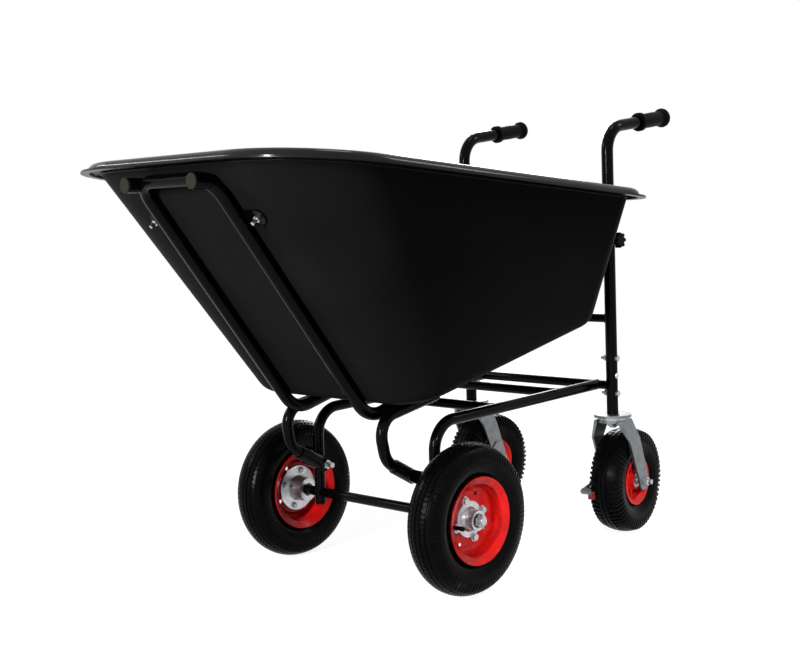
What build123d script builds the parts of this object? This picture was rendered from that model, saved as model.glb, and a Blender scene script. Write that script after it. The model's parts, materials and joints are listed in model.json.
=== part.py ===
from build123d import *
import math
import os

os.makedirs("parts", exist_ok=True)

# Four-wheeled tipping barrow, in millimetres. Forward is -Y and up is +Z.
# Lengths along Y are counted from the front axle, and export moves the axle to AXLE_Y.
AXLE_Y = -143.3
SIDES = {"left": 1, "right": -1}

# Front wheels
FRONT_R = 160.0
FRONT_TYRE_HALF = 40.0
FRONT_SHOULDER = (0.80, 0.93)
FRONT_RIM_R = 92.0
FRONT_TRACK_HALF = 271.6
AXLE_R = 8.0
HUB_TURN = 17.0
HUB_BOLT_R = 42.0
AXLE_HALF = FRONT_TRACK_HALF + 45.5

# Casters
CASTER_R = 127.0
CASTER_TYRE_HALF = 41.0
CASTER_SHOULDER = (0.86, 0.945)
CASTER_RIM_R = 60.0
CASTER_TRAIL = 60.0
CASTER_SWIVEL = {"left": 7.0, "right": 0.0}
CASTER_AXLE_R = 6.0
PLATE_R = 45.0
PLATE_TOP = 298.0
FORK_IN = 46.5
FORK_T = 5.0
BRAKE_PIVOT_Y = 42.0
BRAKE_PIVOT_Z = 176.0

# Posts, handles and chassis tubes
POST_X = 226.0
POST_Y = 587.0
POST_R = 14.0
POST_WALL = 2.0
POST_JOINT_Z = 449.0
HANDLE_BEND_Z = 994.0
HANDLE_RISE = 7.3
GRIP_START = 132.0
GRIP_LENGTH = 116.0
REST_R = 10.5
REST_Z = 529.0
RAIL_X = 183.5
RAIL_R = 12.5
RAIL_WALL = 2.0
RAIL_FRONT_Z = 352.0
RAIL_REAR_Z = 367.0
RAIL_BEND = 62.0
DOWN_TUBE_END_Z = 133.0
CROSS_R = 11.0
CROSS_MIDDLE_Y = 428.0
CROSS_FRONT_Y = 195.0

# Tub
WALL = 4.0
RIM_Z = 855.2
RIM_TILT = 5.03
TOP_FRONT = -508.0
TOP_REAR = 486.0
TOP_HALF = 374.0
TOP_FRONT_R = 184.0
TOP_REAR_R = 50.0
FLOOR_Z = 432.7
FLOOR_TILT = 13.9
FLOOR_FRONT = -132.0
FLOOR_REAR = 451.0
FLOOR_FRONT_HALF = 270.0
FLOOR_REAR_HALF = 319.0
FLOOR_FRONT_R = 110.0
FLOOR_REAR_R = 80.0
FLOOR_EDGE_R = 42.0
BEAD_R = 16.0
LIP = 14.0

# Tray frame: nose hoop, tipping arms and pivots
HOOP_R = 14.0
HOOP_WALL = 2.0
HOOP_X = 116.0
HOOP_GAP = 14.6
CROSSBAR_Z = 873.0
RUN_Z = 405.0
RUN_REAR_Z = 555.2
RUN_END_Y = 604.0
HOOP_CORNER_R = 45.0
HOOP_BEND_R = 62.0
ARM_X = 150.0
ARM_R = 12.5
SOCKET_R = 15.5
PIVOT_Z = 227.0
PIVOT_R = 6.0
RUN_FIT = 0.05
BOLT_R = 4.0
HOLE_R = 4.3
KNOB_Z = 716.0

FLOOR_RISE = math.tan(math.radians(FLOOR_TILT))
RIM_FALL = math.tan(math.radians(RIM_TILT))
RUN_SLOPE = (RUN_REAR_Z - RUN_Z) / POST_Y
FLOOR_NORMAL = Vector(0, -math.sin(math.radians(FLOOR_TILT)), math.cos(math.radians(FLOOR_TILT)))
RIM_PLANE = Plane(
    origin=(0, 0, RIM_Z), x_dir=(1, 0, 0),
    z_dir=(0, math.sin(math.radians(RIM_TILT)), math.cos(math.radians(RIM_TILT))),
)
FLOOR_PLANE = Plane(origin=(0, 0, FLOOR_Z), x_dir=(1, 0, 0), z_dir=FLOOR_NORMAL)


def keep(name, *solids):
    """Write one node: its solids, moved so that the front axle is at AXLE_Y."""
    moved = []
    for solid in solids:
        moved.extend((Pos(0, AXLE_Y, 0) * solid).solids())
    export_step(moved[0] if len(moved) == 1 else Compound(children=moved), f"parts/{name}.step")


def rod(start, end, radius):
    """Round bar between two points."""
    line = Vector(end) - Vector(start)
    return Solid.make_cylinder(radius, line.length, Plane(origin=start, z_dir=line))


def pipe(start, end, radius, wall):
    """Straight tube between two points."""
    return rod(start, end, radius) - rod(start, end, radius - wall)


def bent_bar(points, bends, radius):
    """Round bar along straight runs joined by bends."""
    path = FilletPolyline(*points, radius=bends)
    return sweep(Plane(origin=path @ 0, z_dir=path % 0) * Circle(radius), path=path)


def bent_tube(points, bends, radius, wall):
    """Tube along straight runs joined by bends."""
    return bent_bar(points, bends, radius) - bent_bar(points, bends, radius - wall)


def nut(point, axis, across, height, hole):
    """Hexagon nut that stands on a point and grows along an axis."""
    face = RegularPolygon(across / 2, 6, major_radius=False) - Circle(hole)
    return extrude(Plane(origin=point, z_dir=axis) * face, height)


def hex_bolt(point, axis, radius, length, across, head):
    """Bolt with its head behind the point and its shank along the axis."""
    axis = Vector(axis).normalized()
    point = Vector(point)
    head_face = Plane(origin=point - axis * head, z_dir=axis) * RegularPolygon(across / 2, 6, major_radius=False)
    return extrude(head_face, head) + rod(point, point + axis * length, radius)


def dome_bolt(point, axis, radius, length, head_r, head):
    """Round-headed bolt with its head behind the point and its shank along the axis."""
    axis = Vector(axis).normalized()
    point = Vector(point)
    cap = Solid.make_cone(head_r, head_r * 0.45, head, Plane(origin=point, z_dir=axis * -1))
    return cap + rod(point, point + axis * length, radius)


def flush_bolt(point, axis, radius, length, head_r, head):
    """Countersunk bolt with its flat head level with the point and its shank along the axis."""
    axis = Vector(axis).normalized()
    point = Vector(point)
    cone = Solid.make_cone(head_r, radius, head, Plane(origin=point, z_dir=axis))
    return cone + rod(point, point + axis * length, radius)


def outline(front, rear, front_half, rear_half, front_r, rear_r):
    """Four-sided outline with one corner radius in front and one at the rear."""
    corners = [(front_half, front), (rear_half, rear), (-rear_half, rear), (-front_half, front)]
    face = make_face(Polyline(*corners, close=True))
    face = fillet(face.vertices().group_by(Axis.Y)[0], front_r)
    return fillet(face.vertices().group_by(Axis.Y)[-1], rear_r)


def front_wall_y(z):
    """Y of the tub's outer front face at a height, on the centre line."""
    top_y = TOP_FRONT * math.cos(math.radians(RIM_TILT))
    top_z = RIM_Z - RIM_FALL * top_y
    low_y = FLOOR_FRONT * math.cos(math.radians(FLOOR_TILT))
    low_z = FLOOR_Z + FLOOR_RISE * low_y
    return low_y + (z - low_z) * (top_y - low_y) / (top_z - low_z)


def rear_wall_y(z):
    """Y of the tub's outer rear face at a height, on the centre line."""
    top_y = TOP_REAR * math.cos(math.radians(RIM_TILT))
    top_z = RIM_Z - RIM_FALL * top_y
    low_y = FLOOR_REAR * math.cos(math.radians(FLOOR_TILT))
    low_z = FLOOR_Z + FLOOR_RISE * low_y
    return low_y + (z - low_z) * (top_y - low_y) / (top_z - low_z)


def run_z(y):
    """Height of the hoop's lower runs under the tub's floor."""
    return RUN_Z + RUN_SLOPE * y


def rail_z(y):
    """Height of the chassis rails, which rise a little to the rear."""
    return RAIL_FRONT_Z + (RAIL_REAR_Z - RAIL_FRONT_Z) * y / POST_Y


# The tub: a tapered shell with a sloping floor and a rolled rim
def tub_body(inset, lift, edge_r):
    """Solid inside the tub's outer or inner faces."""
    top = outline(
        TOP_FRONT + inset, TOP_REAR - inset, TOP_HALF - inset, TOP_HALF - inset,
        TOP_FRONT_R - inset, TOP_REAR_R - inset,
    )
    low = outline(
        FLOOR_FRONT + inset, FLOOR_REAR - inset, FLOOR_FRONT_HALF - inset, FLOOR_REAR_HALF - inset,
        FLOOR_FRONT_R - inset, FLOOR_REAR_R - inset,
    )
    body = loft([FLOOR_PLANE.offset(lift) * low, RIM_PLANE * top], ruled=True)
    floor = body.faces().sort_by(Axis.Z)[0]
    return fillet(floor.edges(), edge_r)


def rolled_rim():
    """Inverted channel round the tub's mouth, with a flat lip outside it."""
    centre = BEAD_R - WALL
    inner_r = BEAD_R - WALL
    section = make_face([
        Line((-WALL, 0), (-WALL, WALL)),
        ThreePointArc((-WALL, WALL), (centre, WALL + BEAD_R), (centre + BEAD_R, WALL)),
        Line((centre + BEAD_R, WALL), (centre + BEAD_R + LIP, WALL)),
        Line((centre + BEAD_R + LIP, WALL), (centre + BEAD_R + LIP, 0)),
        Line((centre + BEAD_R + LIP, 0), (centre + inner_r, 0)),
        Line((centre + inner_r, 0), (centre + inner_r, WALL)),
        ThreePointArc((centre + inner_r, WALL), (centre, WALL + inner_r), (0, WALL)),
        Line((0, WALL), (0, 0)),
        Line((0, 0), (-WALL, 0)),
    ])
    top = outline(TOP_FRONT, TOP_REAR, TOP_HALF, TOP_HALF, TOP_FRONT_R, TOP_REAR_R)
    path = (RIM_PLANE * top).faces()[0].outer_wire()
    start = RIM_PLANE.from_local_coords(Vector(TOP_HALF, 0, 0))
    across = Plane(origin=start, x_dir=(1, 0, 0), z_dir=RIM_PLANE.y_dir * -1)
    return sweep(across * section, path=path, transition=Transition.RIGHT)


def floor_bolt_points():
    """Points on the hoop's runs where the floor bolts cross them."""
    return [Vector(side * HOOP_X, y, run_z(y)) for side in SIDES.values() for y in (40.0, 385.0)]


def floor_top(spot):
    """Point on the tub's inner floor straight above a spot on a hoop run."""
    gap = (FLOOR_Z + FLOOR_RISE * spot.Y - spot.Z) * FLOOR_NORMAL.Z
    return spot + FLOOR_NORMAL * (gap + WALL)


def front_bolt_points():
    """Points on the front wall where the hoop's tabs are bolted."""
    z = 800.0
    return [Vector(side * (HOOP_X + 46.0), front_wall_y(z), z) for side in SIDES.values()]


def bracket_bolt_points():
    """Points on the rear wall where the lock brackets are bolted."""
    return [
        Vector(side * (POST_X - POST_R - 26.0), rear_wall_y(z), z)
        for side in SIDES.values() for z in (KNOB_Z - 16.0, KNOB_Z + 16.0)
    ]


FRONT_SLOPE = (front_wall_y(800.0) - front_wall_y(500.0)) / 300.0
FRONT_NORMAL = Vector(0, -1, FRONT_SLOPE).normalized()
REAR_SLOPE = (rear_wall_y(800.0) - rear_wall_y(600.0)) / 200.0
REAR_NORMAL = Vector(0, 1, -REAR_SLOPE).normalized()

tub_outside = tub_body(0.0, 0.0, FLOOR_EDGE_R)
tub_inside = tub_body(WALL, WALL, FLOOR_EDGE_R - WALL)
tub = tub_outside - tub_inside + rolled_rim()
for spot in floor_bolt_points():
    sink = Plane(origin=floor_top(spot) + FLOOR_NORMAL * 0.5, z_dir=FLOOR_NORMAL * -1)
    tub = tub - rod(spot, spot + FLOOR_NORMAL * 60.0, HOLE_R) - Solid.make_cone(10.1, HOLE_R, 4.1, sink)
for spot in front_bolt_points():
    tub = tub - rod(spot - FRONT_NORMAL * 20.0, spot + FRONT_NORMAL * 20.0, HOLE_R)
for spot in bracket_bolt_points():
    tub = tub - rod(spot - REAR_NORMAL * 20.0, spot + REAR_NORMAL * 20.0, HOLE_R)
keep("tray_tub", tub)

# The nose hoop: one tube across the nose, down the front wall and back under the floor
crossbar_y = front_wall_y(CROSSBAR_Z) - HOOP_GAP / math.cos(math.atan(FRONT_SLOPE))
leg_drop = RUN_Z - CROSSBAR_Z
leg_foot_y = (crossbar_y + FRONT_SLOPE * leg_drop) / (1 - FRONT_SLOPE * RUN_SLOPE)
hoop_points = [
    (HOOP_X, RUN_END_Y, run_z(RUN_END_Y)),
    (HOOP_X, leg_foot_y, run_z(leg_foot_y)),
    (HOOP_X, crossbar_y, CROSSBAR_Z),
    (-HOOP_X, crossbar_y, CROSSBAR_Z),
    (-HOOP_X, leg_foot_y, run_z(leg_foot_y)),
    (-HOOP_X, RUN_END_Y, run_z(RUN_END_Y)),
]
hoop_bends = [HOOP_BEND_R, HOOP_CORNER_R, HOOP_CORNER_R, HOOP_BEND_R]
hoop_bar = bent_bar(hoop_points, hoop_bends, HOOP_R)
hoop = hoop_bar - bent_bar(hoop_points, hoop_bends, HOOP_R - HOOP_WALL)
for spot in floor_bolt_points():
    hoop = hoop - rod(spot - FLOOR_NORMAL * 30.0, spot + FLOOR_NORMAL * 30.0, HOLE_R)
keep("tray_hoop", hoop)

# Nose stops: stub tubes on the hoop's corners, closed by plugs
STOP_R = 15.0
STOP_FRONT = crossbar_y - 36.0
stops = []
plugs = []
for side in SIDES.values():
    base = Vector(side * (HOOP_X - 9.0), crossbar_y, CROSSBAR_Z - 5.0)
    front = Vector(base.X, STOP_FRONT, base.Z)
    stops.append(pipe(front, base, STOP_R, 2.0) - hoop_bar)
    plug = rod(front + Vector(0, 16.0, 0), front, STOP_R - 2.0)
    plugs.append(plug + rod(front, front - Vector(0, 4.0, 0), STOP_R))
keep("nose_stops", *[max(stop.solids(), key=lambda s: s.volume) for stop in stops])
keep("nose_stop_plugs", *plugs)

# Tabs welded to the hoop's legs, bolted to the front wall
tabs = []
for spot in front_bolt_points():
    side = math.copysign(1, spot.X)
    plane = Plane(origin=spot, x_dir=(1, 0, 0), z_dir=FRONT_NORMAL)
    shape = Circle(16.0) + Pos(-side * 23.0, 0) * Rectangle(46.0, 32.0) - Circle(HOLE_R)
    tabs.append(extrude(plane.offset(0.4) * shape, 4.0) - hoop_bar)
keep("hoop_tabs", *[max(tab.solids(), key=lambda s: s.volume) for tab in tabs])

# Floor pads between the tub and the hoop's runs
pads = []
for spot in floor_bolt_points():
    pad = rod(spot, spot + FLOOR_NORMAL * 40.0, 14.0) - rod(spot, spot + FLOOR_NORMAL * 40.0, HOLE_R)
    pads.append(pad - hoop_bar - tub_outside)
keep("floor_pads", *pads)

# Tray bolts and nuts: through the floor, the front wall and the rear wall
BOLT_HEAD_R = 9.0
BOLT_HEAD = 4.5
NUT_ACROSS = 13.0
NUT_H = 6.5
tray_bolts = []
tray_nuts = []
for spot in floor_bolt_points():
    head = floor_top(spot) - FLOOR_NORMAL * 0.2
    reach = (head - spot).length + HOOP_R + NUT_H + 5.0
    tray_bolts.append(flush_bolt(head, FLOOR_NORMAL * -1, BOLT_R, reach, BOLT_HEAD_R, 3.2))
    tray_nuts.append(nut(spot - FLOOR_NORMAL * (HOOP_R + 0.1), FLOOR_NORMAL * -1, NUT_ACROSS, NUT_H, BOLT_R))
for spot in front_bolt_points():
    head = spot - FRONT_NORMAL * (WALL - 1.2)
    tray_bolts.append(dome_bolt(head, FRONT_NORMAL, BOLT_R, 26.0, BOLT_HEAD_R, BOLT_HEAD + 1.0) - tub)
    tray_nuts.append(nut(spot + FRONT_NORMAL * 4.6, FRONT_NORMAL, NUT_ACROSS, NUT_H, BOLT_R))
for spot in bracket_bolt_points():
    head = spot - REAR_NORMAL * (WALL - 0.2)
    tray_bolts.append(dome_bolt(head, REAR_NORMAL, BOLT_R, 20.0, BOLT_HEAD_R, BOLT_HEAD) - tub)
    tray_nuts.append(nut(spot + REAR_NORMAL * 4.6, REAR_NORMAL, NUT_ACROSS, NUT_H, BOLT_R))
keep("tray_bolts", *tray_bolts)
keep("tray_nuts", *tray_nuts)

# Tipping arms: C-shaped tubes from the hoop's runs to the pivots
arm_end = Vector(ARM_X, -38.0, PIVOT_Z + 15.0)
arm_points = [
    (HOOP_X + 20.0, 60.0, run_z(60.0) - 18.0),
    (ARM_X - 2.0, -129.0, 373.0),
    (ARM_X, -112.0, 284.0),
    (arm_end.X, arm_end.Y, arm_end.Z),
]
sockets = []
for name, side in SIDES.items():
    points = [(side * x, y, z) for x, y, z in arm_points]
    arm = bent_tube(points, [46.0, 46.0], ARM_R, 2.0) - hoop_bar
    keep(f"tipping_arm_{name}", max(arm.solids(), key=lambda s: s.volume))
    back = Vector(points[3])
    ahead = (Vector(points[2]) - back).normalized()
    socket = rod(back - ahead * 6.0, back + ahead * 58.0, SOCKET_R)
    socket = socket - rod(back, back + ahead * 60.0, ARM_R)
    lug_x = side * (ARM_X + SOCKET_R - 1.5)
    lug_plane = Plane(origin=(lug_x, 0, PIVOT_Z), x_dir=(0, 1, 0), z_dir=(side, 0, 0))
    lug_shape = make_hull(
        (Circle(17.0) + Pos(back.Y - 14.0, side * (back.Z + 5.0 - PIVOT_Z)) * Circle(13.0)).edges()
    )
    lug = extrude(lug_plane * lug_shape, 5.0)
    bore = rod((lug_x - side * 40.0, 0, PIVOT_Z), (lug_x + side * 20.0, 0, PIVOT_Z), PIVOT_R + RUN_FIT)
    sockets.append(socket + (lug - rod(back, back + ahead * 60.0, ARM_R)) - bore)
keep("arm_sockets", *sockets)

# Lock brackets on the tub's rear wall: a web with an open hook round each lock bolt
WEB_T = 5.0
WEB_GAP = 0.5
brackets = []
pivot_to_bolt = Vector(0, POST_Y, KNOB_Z - PIVOT_Z)
leave = Vector(0, pivot_to_bolt.Z, -pivot_to_bolt.Y).normalized()
for side in SIDES.values():
    web_x = side * (POST_X - POST_R - WEB_GAP)
    face_y = rear_wall_y(KNOB_Z) + 0.4
    web_plane = Plane(origin=(web_x, 0, 0), x_dir=(0, 1, 0), z_dir=(-side, 0, 0))
    high = KNOB_Z + 30.0
    low = KNOB_Z - 30.0
    web_points = [
        (rear_wall_y(low) + 0.5, -side * low),
        (POST_Y - 30.0, -side * (KNOB_Z - 16.0)),
        (POST_Y + 11.0, -side * (KNOB_Z - 10.0)),
        (POST_Y + 11.0, -side * (KNOB_Z + 16.0)),
        (POST_Y - 30.0, -side * (KNOB_Z + 18.0)),
        (rear_wall_y(high) + 0.5, -side * high),
    ]
    web = extrude(web_plane * make_face(Polyline(*web_points, close=True)), WEB_T)
    slot_start = Vector(web_x - side * WEB_T * 2, POST_Y, KNOB_Z)
    slot_side = Vector(side * WEB_T * 4, 0, 0)
    slot = rod(slot_start, slot_start + slot_side, BOLT_R + 0.5)
    channel_plane = Plane(origin=slot_start + leave * 25.0, x_dir=leave, z_dir=(side, 0, 0))
    slot = slot + extrude(channel_plane * Rectangle(50.0, 2 * BOLT_R + 1.0), WEB_T * 4)
    flange_plane = Plane(
        origin=Vector(web_x - side * 24.0, rear_wall_y(KNOB_Z), KNOB_Z), x_dir=(1, 0, 0), z_dir=REAR_NORMAL
    )
    flange = extrude(flange_plane.offset(0.4) * Rectangle(48.0, 60.0), 4.0)
    bracket = flange + web - slot
    for spot in bracket_bolt_points():
        bracket = bracket - rod(spot - REAR_NORMAL * 20.0, spot + REAR_NORMAL * 30.0, HOLE_R)
    brackets.append(max(bracket.solids(), key=lambda s: s.volume))
keep("lock_brackets", *brackets)

# Chassis rails: each runs forward from the rear cross tube and bends down to the axle
rail_bars = {}
for name, side in SIDES.items():
    rail_points = [
        (side * RAIL_X, POST_Y, rail_z(POST_Y)),
        (side * RAIL_X, 0, rail_z(0)),
        (side * RAIL_X, 0, DOWN_TUBE_END_Z),
    ]
    rail_bars[name] = (bent_bar(rail_points, [RAIL_BEND], RAIL_R), rail_points)
rear_cross_bar = rod((-POST_X, POST_Y, RAIL_REAR_Z), (POST_X, POST_Y, RAIL_REAR_Z), CROSS_R)
for name, side in SIDES.items():
    bar, rail_points = rail_bars[name]
    rail = bar - bent_bar(rail_points, [RAIL_BEND], RAIL_R - RAIL_WALL) - rear_cross_bar
    rail = rail - rod((side * (RAIL_X - 40), 0, FRONT_R), (side * (RAIL_X + 40), 0, FRONT_R), AXLE_R)
    rail = rail - rod((side * (RAIL_X - 40), 0, PIVOT_Z), (side * (RAIL_X + 40), 0, PIVOT_Z), PIVOT_R)
    keep(f"rail_{name}", max(rail.solids(), key=lambda s: s.volume))


def cross_tube(y, z):
    """Tube between the rails, with its ends coped to fit them."""
    tube = pipe((-RAIL_X, y, z), (RAIL_X, y, z), CROSS_R, 1.5)
    for bar, _ in rail_bars.values():
        tube = tube - bar
    return max(tube.solids(), key=lambda s: s.volume)


upper_cross_tubes = [cross_tube(y, rail_z(y) + 2.5) for y in (CROSS_MIDDLE_Y, CROSS_FRONT_Y)]
keep("cross_tubes", *upper_cross_tubes, cross_tube(0, FRONT_R))


def post_bar(side):
    """Solid cylinder in the place of one post's tubes."""
    return rod((side * POST_X, POST_Y, PLATE_TOP), (side * POST_X, POST_Y, HANDLE_BEND_Z - 40.0), POST_R)


def between_posts(z, radius, wall):
    """Tube between the posts, with its ends coped to fit them."""
    tube = pipe((-POST_X, POST_Y, z), (POST_X, POST_Y, z), radius, wall)
    for side in SIDES.values():
        tube = tube - post_bar(side)
    return max(tube.solids(), key=lambda s: s.volume)


keep("cross_tube_rear", between_posts(RAIL_REAR_Z, CROSS_R, 1.5))
keep("tray_rest_tube", between_posts(REST_Z, REST_R, 1.5))

# Front axle with spacers, castle nuts and split pins
keep("front_axle", rod((-AXLE_HALF, 0, FRONT_R), (AXLE_HALF, 0, FRONT_R), AXLE_R))
HUB_IN = -46.0
HUB_OUT = 30.0
spacers = []
axle_nuts = []
split_pins = []
for side in SIDES.values():
    def on_axle(x):
        """Point on the front axle."""
        return Vector(side * x, 0, FRONT_R)
    inner = RAIL_X + RAIL_R + 0.2
    bearing_in = FRONT_TRACK_HALF + HUB_IN
    bearing_out = FRONT_TRACK_HALF + HUB_OUT
    spacers.append(pipe(on_axle(inner), on_axle(bearing_in - 0.4), 11.0, 3.0))
    spacers.append(pipe(on_axle(bearing_out + 0.4), on_axle(bearing_out + 2.0), 13.0, 5.0))
    castle = nut(on_axle(bearing_out + 2.0), (side, 0, 0), 24.0, 8.5, AXLE_R)
    pin_x = bearing_out + 12.4
    split_pins.append(rod(on_axle(pin_x) - Vector(0, 0, 15), on_axle(pin_x) + Vector(0, 0, 15), 1.6)
                      - rod(on_axle(0), on_axle(AXLE_HALF), AXLE_R))
    axle_nuts.append(castle)
keep("axle_spacers", *spacers)
keep("axle_nuts", *axle_nuts)
keep("split_pins", *split_pins)

# Pivot bolts through the down tubes and the sockets' lugs
pivot_bolts = []
pivot_nuts = []
for side in SIDES.values():
    head = Vector(side * (RAIL_X + RAIL_R), 0, PIVOT_Z)
    inward = (-side, 0, 0)
    pivot_bolts.append(hex_bolt(head, inward, PIVOT_R, 58.0, 19.0, 7.5))
    lug_inner = ARM_X + SOCKET_R - 1.5
    pivot_nuts.append(nut((side * (lug_inner - 0.5), 0, PIVOT_Z), inward, 19.0, 10.0, PIVOT_R))
keep("pivot_bolts", *pivot_bolts)

# Posts, spigots, handles and grips
POST_BOLT_Z = (433.0, 348.0)
POST_SCREW_Z = 391.0
rise = math.radians(HANDLE_RISE)
lower_posts = []
spigots = []
post_bolts = []
post_nuts = []
rest_bar = rod((-POST_X, POST_Y, REST_Z), (POST_X, POST_Y, REST_Z), REST_R)
for name, side in SIDES.items():
    def on_post(z):
        """Point on one post's axis."""
        return Vector(side * POST_X, POST_Y, z)
    across = Vector(side, 0, 0)
    lower = pipe(on_post(PLATE_TOP), on_post(POST_JOINT_Z), POST_R, POST_WALL)
    stem_top = 366.0
    spigot = rod(on_post(stem_top + 4.0), on_post(POST_JOINT_Z + 60.0), POST_R - POST_WALL)
    spigot = spigot - rod(on_post(stem_top), on_post(POST_JOINT_Z + 61.0), POST_R - POST_WALL - 2.0)
    for z in POST_BOLT_Z:
        hole = rod(on_post(z) - across * 40.0, on_post(z) + across * 40.0, HOLE_R)
        lower = lower - hole
        spigot = spigot - hole
        post_bolts.append(hex_bolt(on_post(z) + across * POST_R, across * -1, BOLT_R, 42.0, 13.0, 5.5))
        post_nuts.append(nut(on_post(z) - across * POST_R, across * -1, 13.0, 6.5, BOLT_R))
    screw = on_post(POST_SCREW_Z) + across * POST_R
    lower = lower - rod(screw + across * 2.0, screw - across * 5.0, HOLE_R)
    spigot = spigot - rod(screw + across * 2.0, screw - across * 5.0, HOLE_R)
    post_bolts.append(dome_bolt(screw, across * -1, BOLT_R, 4.5, 6.5, 3.5))
    lower_posts.append(lower)
    spigots.append(spigot)
    tip = Vector(0, math.cos(rise), math.sin(rise))
    bend_point = on_post(HANDLE_BEND_Z - 12.0)
    tube_end = bend_point + tip * (GRIP_START + GRIP_LENGTH - 4.0)
    handle_points = [on_post(POST_JOINT_Z), bend_point, tube_end]
    handle = bent_tube(handle_points, [64.0], POST_R, POST_WALL)
    handle = handle - rod(on_post(KNOB_Z) - across * 40.0, on_post(KNOB_Z) + across * 40.0, BOLT_R + 0.35)
    keep(f"handle_post_{name}", handle)
    grip_plane = Plane(origin=bend_point + tip * GRIP_START, x_dir=(1, 0, 0), z_dir=tip)
    grip_profile = make_face([
        Line((POST_R, 0), (22.5, 0)),
        Line((22.5, 0), (22.5, 9.0)),
        Line((22.5, 9.0), (17.0, 13.0)),
        ThreePointArc((17.0, 13.0), (18.2, 52.0), (17.0, 92.0)),
        Line((17.0, 92.0), (22.5, 99.0)),
        ThreePointArc((22.5, 99.0), (20.5, 112.0), (12.0, GRIP_LENGTH)),
        Line((12.0, GRIP_LENGTH), (0, GRIP_LENGTH)),
        Line((0, GRIP_LENGTH), (0, GRIP_LENGTH - 4.0)),
        Line((0, GRIP_LENGTH - 4.0), (POST_R, GRIP_LENGTH - 4.0)),
        Line((POST_R, GRIP_LENGTH - 4.0), (POST_R, 0)),
    ])
    upright = Plane(origin=(0, 0, 0), x_dir=(1, 0, 0), z_dir=(0, -1, 0))
    keep(f"hand_grip_{name}", grip_plane * revolve(upright * grip_profile, Axis.Z))
keep("lower_posts", *lower_posts)
keep("post_spigots", *spigots)
keep("post_bolts", *post_bolts)


# Wheels are drawn about the X axis as (width, radius) sections
def turned(points):
    """Ring or disc turned about the X axis from straight-sided section points."""
    return revolve(make_face(Polyline(*points, close=True)), Axis.X)


def tyre(radius, half, shoulder_at, rim_r, skin, seat_drop):
    """Hollow tyre: round crown, full sidewalls and two beads on the rim."""
    def section(drop, top):
        """One side of the tyre's skin: outside for no drop, inside for one skin's thickness."""
        bead = half * 0.62 - drop
        shoulder = (half * shoulder_at[0] - drop, radius * shoulder_at[1] - top)
        belly = (half - drop, (radius + rim_r) * 0.5)
        foot = rim_r - seat_drop
        lower = (bead, rim_r - 2.0)
        return make_face([
            Line((-bead, foot), (bead, foot)),
            Line((bead, foot), lower),
            ThreePointArc(lower, belly, shoulder),
            ThreePointArc(shoulder, (0, radius - top), (-shoulder[0], shoulder[1])),
            ThreePointArc((-shoulder[0], shoulder[1]), (-belly[0], belly[1]), (-lower[0], lower[1])),
            Line((-lower[0], lower[1]), (-bead, foot)),
        ])
    return revolve(section(0.0, 0.0) - section(skin, skin + 2.0), Axis.X)


def front_rim():
    """Pressed-steel rim: two wide flanges, bead seats, a drop well and a dished disc."""
    r = FRONT_RIM_R
    flange = FRONT_TYRE_HALF * 0.62 + 12.0
    well = r - 17.5
    t = 2.5
    tyre_side = [(flange - t, r), (flange - 9.5, r - 13.0), (19.0, r - 15.0), (13.0, well)]
    open_side = [(14.0, well - t), (20.0, r - 15.0 - t), (flange - 8.0, r - 13.0 - t), (flange, r - t)]
    right_half = [(flange, r), *tyre_side]
    left_half = [(-x, y) for x, y in reversed(right_half)]
    barrel = turned([*right_half, *left_half, *[(-x, y) for x, y in reversed(open_side)], *open_side])
    disc = turned([(0.5, 24.0), (0.5, 58.0), (5.0, 65.0), (5.0, well - t + 0.5), (2.6, well - t + 0.5),
                   (2.6, 66.0), (-2.0, 59.0), (-2.0, 24.0)])
    rim = barrel + disc
    for k in range(4):
        bolt_at = Rot(X=90 * k + HUB_TURN) * Pos(0, 0, HUB_BOLT_R)
        rim = rim - bolt_at * Rot(Y=90) * Cylinder(HOLE_R, 20)
        spare_at = Rot(X=90 * k + HUB_TURN + 45) * Pos(0, 0, 56.0)
        rim = rim - spare_at * Rot(Y=90) * Cylinder(4.5, 20)
    return rim


def front_hub():
    """Two-part alloy hub: a flanged barrel inside the disc and a lobed plate outside it."""
    bore = 12.0
    seat = 17.5
    barrel = turned([
        (-2.0, bore), (-2.0, 52.0), (-9.0, 52.0), (-11.0, 30.0), (HUB_IN, 26.0), (HUB_IN, seat),
        (HUB_IN + 11.0, seat), (HUB_IN + 11.0, bore),
    ])
    plate_shape = Circle(38.0)
    for k in range(4):
        angle = math.radians(90 * k + 90 + HUB_TURN)
        spot = (HUB_BOLT_R * math.cos(angle), HUB_BOLT_R * math.sin(angle))
        plate_shape = plate_shape + Pos(*spot) * Circle(9.5)
    plate_plane = Plane(origin=(0.5, 0, 0), x_dir=(0, 1, 0), z_dir=(1, 0, 0))
    plate = extrude(plate_plane * (plate_shape - Circle(bore)), 5.5)
    boss = turned([
        (5.0, bore), (5.0, 27.0), (12.0, 22.0), (HUB_OUT, 21.0), (HUB_OUT, seat),
        (HUB_OUT - 11.0, seat), (HUB_OUT - 11.0, bore),
    ])
    plate = plate + boss
    for k in range(4):
        hole = Rot(X=90 * k + HUB_TURN) * Pos(0, 0, HUB_BOLT_R) * Rot(Y=90) * Cylinder(HOLE_R, 60)
        barrel = barrel - hole
        plate = plate - hole
    return [barrel, plate]


def bearing(x, width, inner, outer):
    """Sealed bearing as one ring."""
    return turned([(x, inner), (x, outer), (x + width, outer), (x + width, inner)])


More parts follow.
